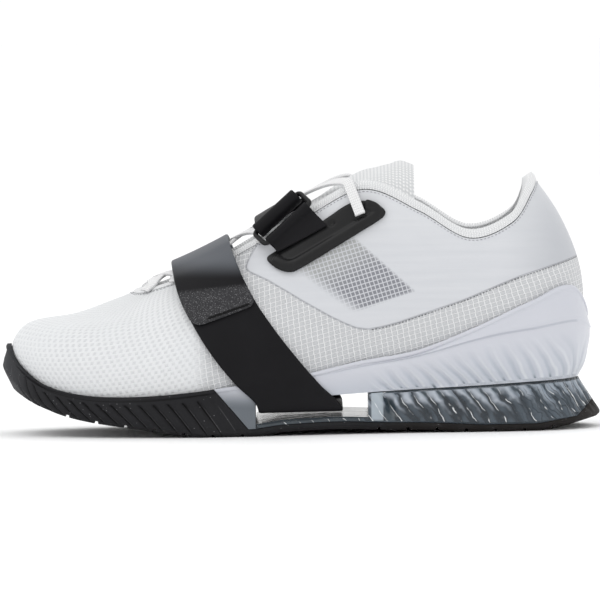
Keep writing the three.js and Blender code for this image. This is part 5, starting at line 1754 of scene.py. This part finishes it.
stitchSettings = {"pitch": 1.7, "long": 1.05, "thread": 0.2, "seed": 7}


def stitchTree():
    tree = bpy.data.node_groups.new("stitchRow", "GeometryNodeTree")
    face = tree.interface
    face.new_socket(name="Geometry", in_out="INPUT", socket_type="NodeSocketGeometry")
    for name in ("Pitch", "Stitch Length", "Thread"):
        face.new_socket(name=name, in_out="INPUT", socket_type="NodeSocketFloat")
    face.new_socket(name="Seed", in_out="INPUT", socket_type="NodeSocketInt")
    face.new_socket(name="Material", in_out="INPUT", socket_type="NodeSocketMaterial")
    face.new_socket(name="Geometry", in_out="OUTPUT", socket_type="NodeSocketGeometry")

    def add(kind, **inputs):
        made = tree.nodes.new(kind)
        for key, value in inputs.items():
            socket = made.inputs[key.replace("_", " ")]
            if isinstance(value, bpy.types.NodeSocket):
                tree.links.new(value, socket)
            else:
                socket.default_value = value
        return made

    given = tree.nodes.new("NodeGroupInput").outputs
    line = add("GeometryNodeMeshToCurve", Mesh=given["Geometry"])
    even = tree.nodes.new("GeometryNodeResampleCurve")
    even.mode = "LENGTH"
    tree.links.new(line.outputs[0], even.inputs["Curve"])
    tree.links.new(given["Pitch"], even.inputs["Length"])
    ball = add("GeometryNodeMeshIcoSphere", Radius=1.0, Subdivisions=2)
    stretch = add("ShaderNodeCombineXYZ", X=given["Stitch Length"], Y=given["Thread"], Z=given["Thread"])
    stitch = add("GeometryNodeTransform", Geometry=ball.outputs[0], Scale=stretch.outputs[0])
    tangent = tree.nodes.new("GeometryNodeInputTangent")
    turn = tree.nodes.new("FunctionNodeAlignRotationToVector")
    turn.axis = "X"
    tree.links.new(tangent.outputs[0], turn.inputs["Vector"])
    vary = add("FunctionNodeRandomValue", Seed=given["Seed"])
    vary.inputs[2].default_value, vary.inputs[3].default_value = 0.88, 1.1
    placed = add("GeometryNodeInstanceOnPoints", Points=even.outputs[0], Instance=stitch.outputs[0],
                 Rotation=turn.outputs[0], Scale=vary.outputs[1])
    real = add("GeometryNodeRealizeInstances", Geometry=placed.outputs[0])
    done = add("GeometryNodeSetMaterial", Geometry=real.outputs[0], Material=given["Material"])
    tree.links.new(done.outputs[0], tree.nodes.new("NodeGroupOutput").inputs[0])
    return tree


def stitchPiece(name, lines, material, tree, scale=1.0):
    points, edges = [], []
    for line in lines:
        start = len(points)
        points += [tuple(p * mm) for p in line]
        edges += [(start + i, start + i + 1) for i in range(len(line) - 1)]
    mesh = bpy.data.meshes.new("seamLine")
    mesh.from_pydata(points, edges, [])
    made = bpy.data.objects.new("seamLine", mesh)
    scene.collection.objects.link(made)
    row = made.modifiers.new("stitches", "NODES")
    row.node_group = tree
    s = stitchSettings
    wanted = {"Pitch": s["pitch"] * mm * scale, "Stitch Length": s["long"] / 2 * mm * scale,
              "Thread": s["thread"] * mm, "Seed": s["seed"], "Material": material}
    for item in tree.interface.items_tree:
        if item.in_out == "INPUT" and item.name in wanted:
            row[item.identifier] = wanted[item.name]
    plain = bpy.data.meshes.new_from_object(made.evaluated_get(bpy.context.evaluated_depsgraph_get()))
    made.modifiers.remove(row)
    bpy.data.objects.remove(made)
    return standsFor(addPiece(name, plain, material, 180), "mesh")


def threadLook(name, color):
    look = Look(name)
    vector, x, y, z = look.place()
    fine = look.noise(vector, 3.0, 2.0)
    return look.finish(look.blend(fine, color, tuple(c * 0.7 for c in color)), 0.8, fine, 0.2)


def addStitches():
    surface, tree = upperTree(), stitchTree()
    edge = [p for p in filmOutline[12:] if p[0] < 140]
    xs = np.arange(36, 139, 0.8)
    zs = np.interp(xs, [p[0] for p in edge], [p[1] for p in edge]) - 0.5
    lines = []
    for side in (-1, 1):
        found = [(x, sideHit(surface, x, z, side), z) for x, z in zip(xs, zs)]
        lines.append([np.array([x, y + side * 0.08, z]) for x, y, z in found if y is not None and side * y > 4])
    stitchPiece("film_stitches", lines, threadLook("greyThread", (0.11, 0.112, 0.12)), tree)
    station = np.arange(0, fullTurn + 0.01, 1 / 20)
    below = bindingShare(station) - 0.9 / profileLength(station)
    rim = offSkin(station, below, 0.1)
    stitchPiece("collar_stitches", [list(rim)], threadLook("paleThread", (0.42, 0.43, 0.45)), tree, 1.15)


addStitches()
print("stitches")
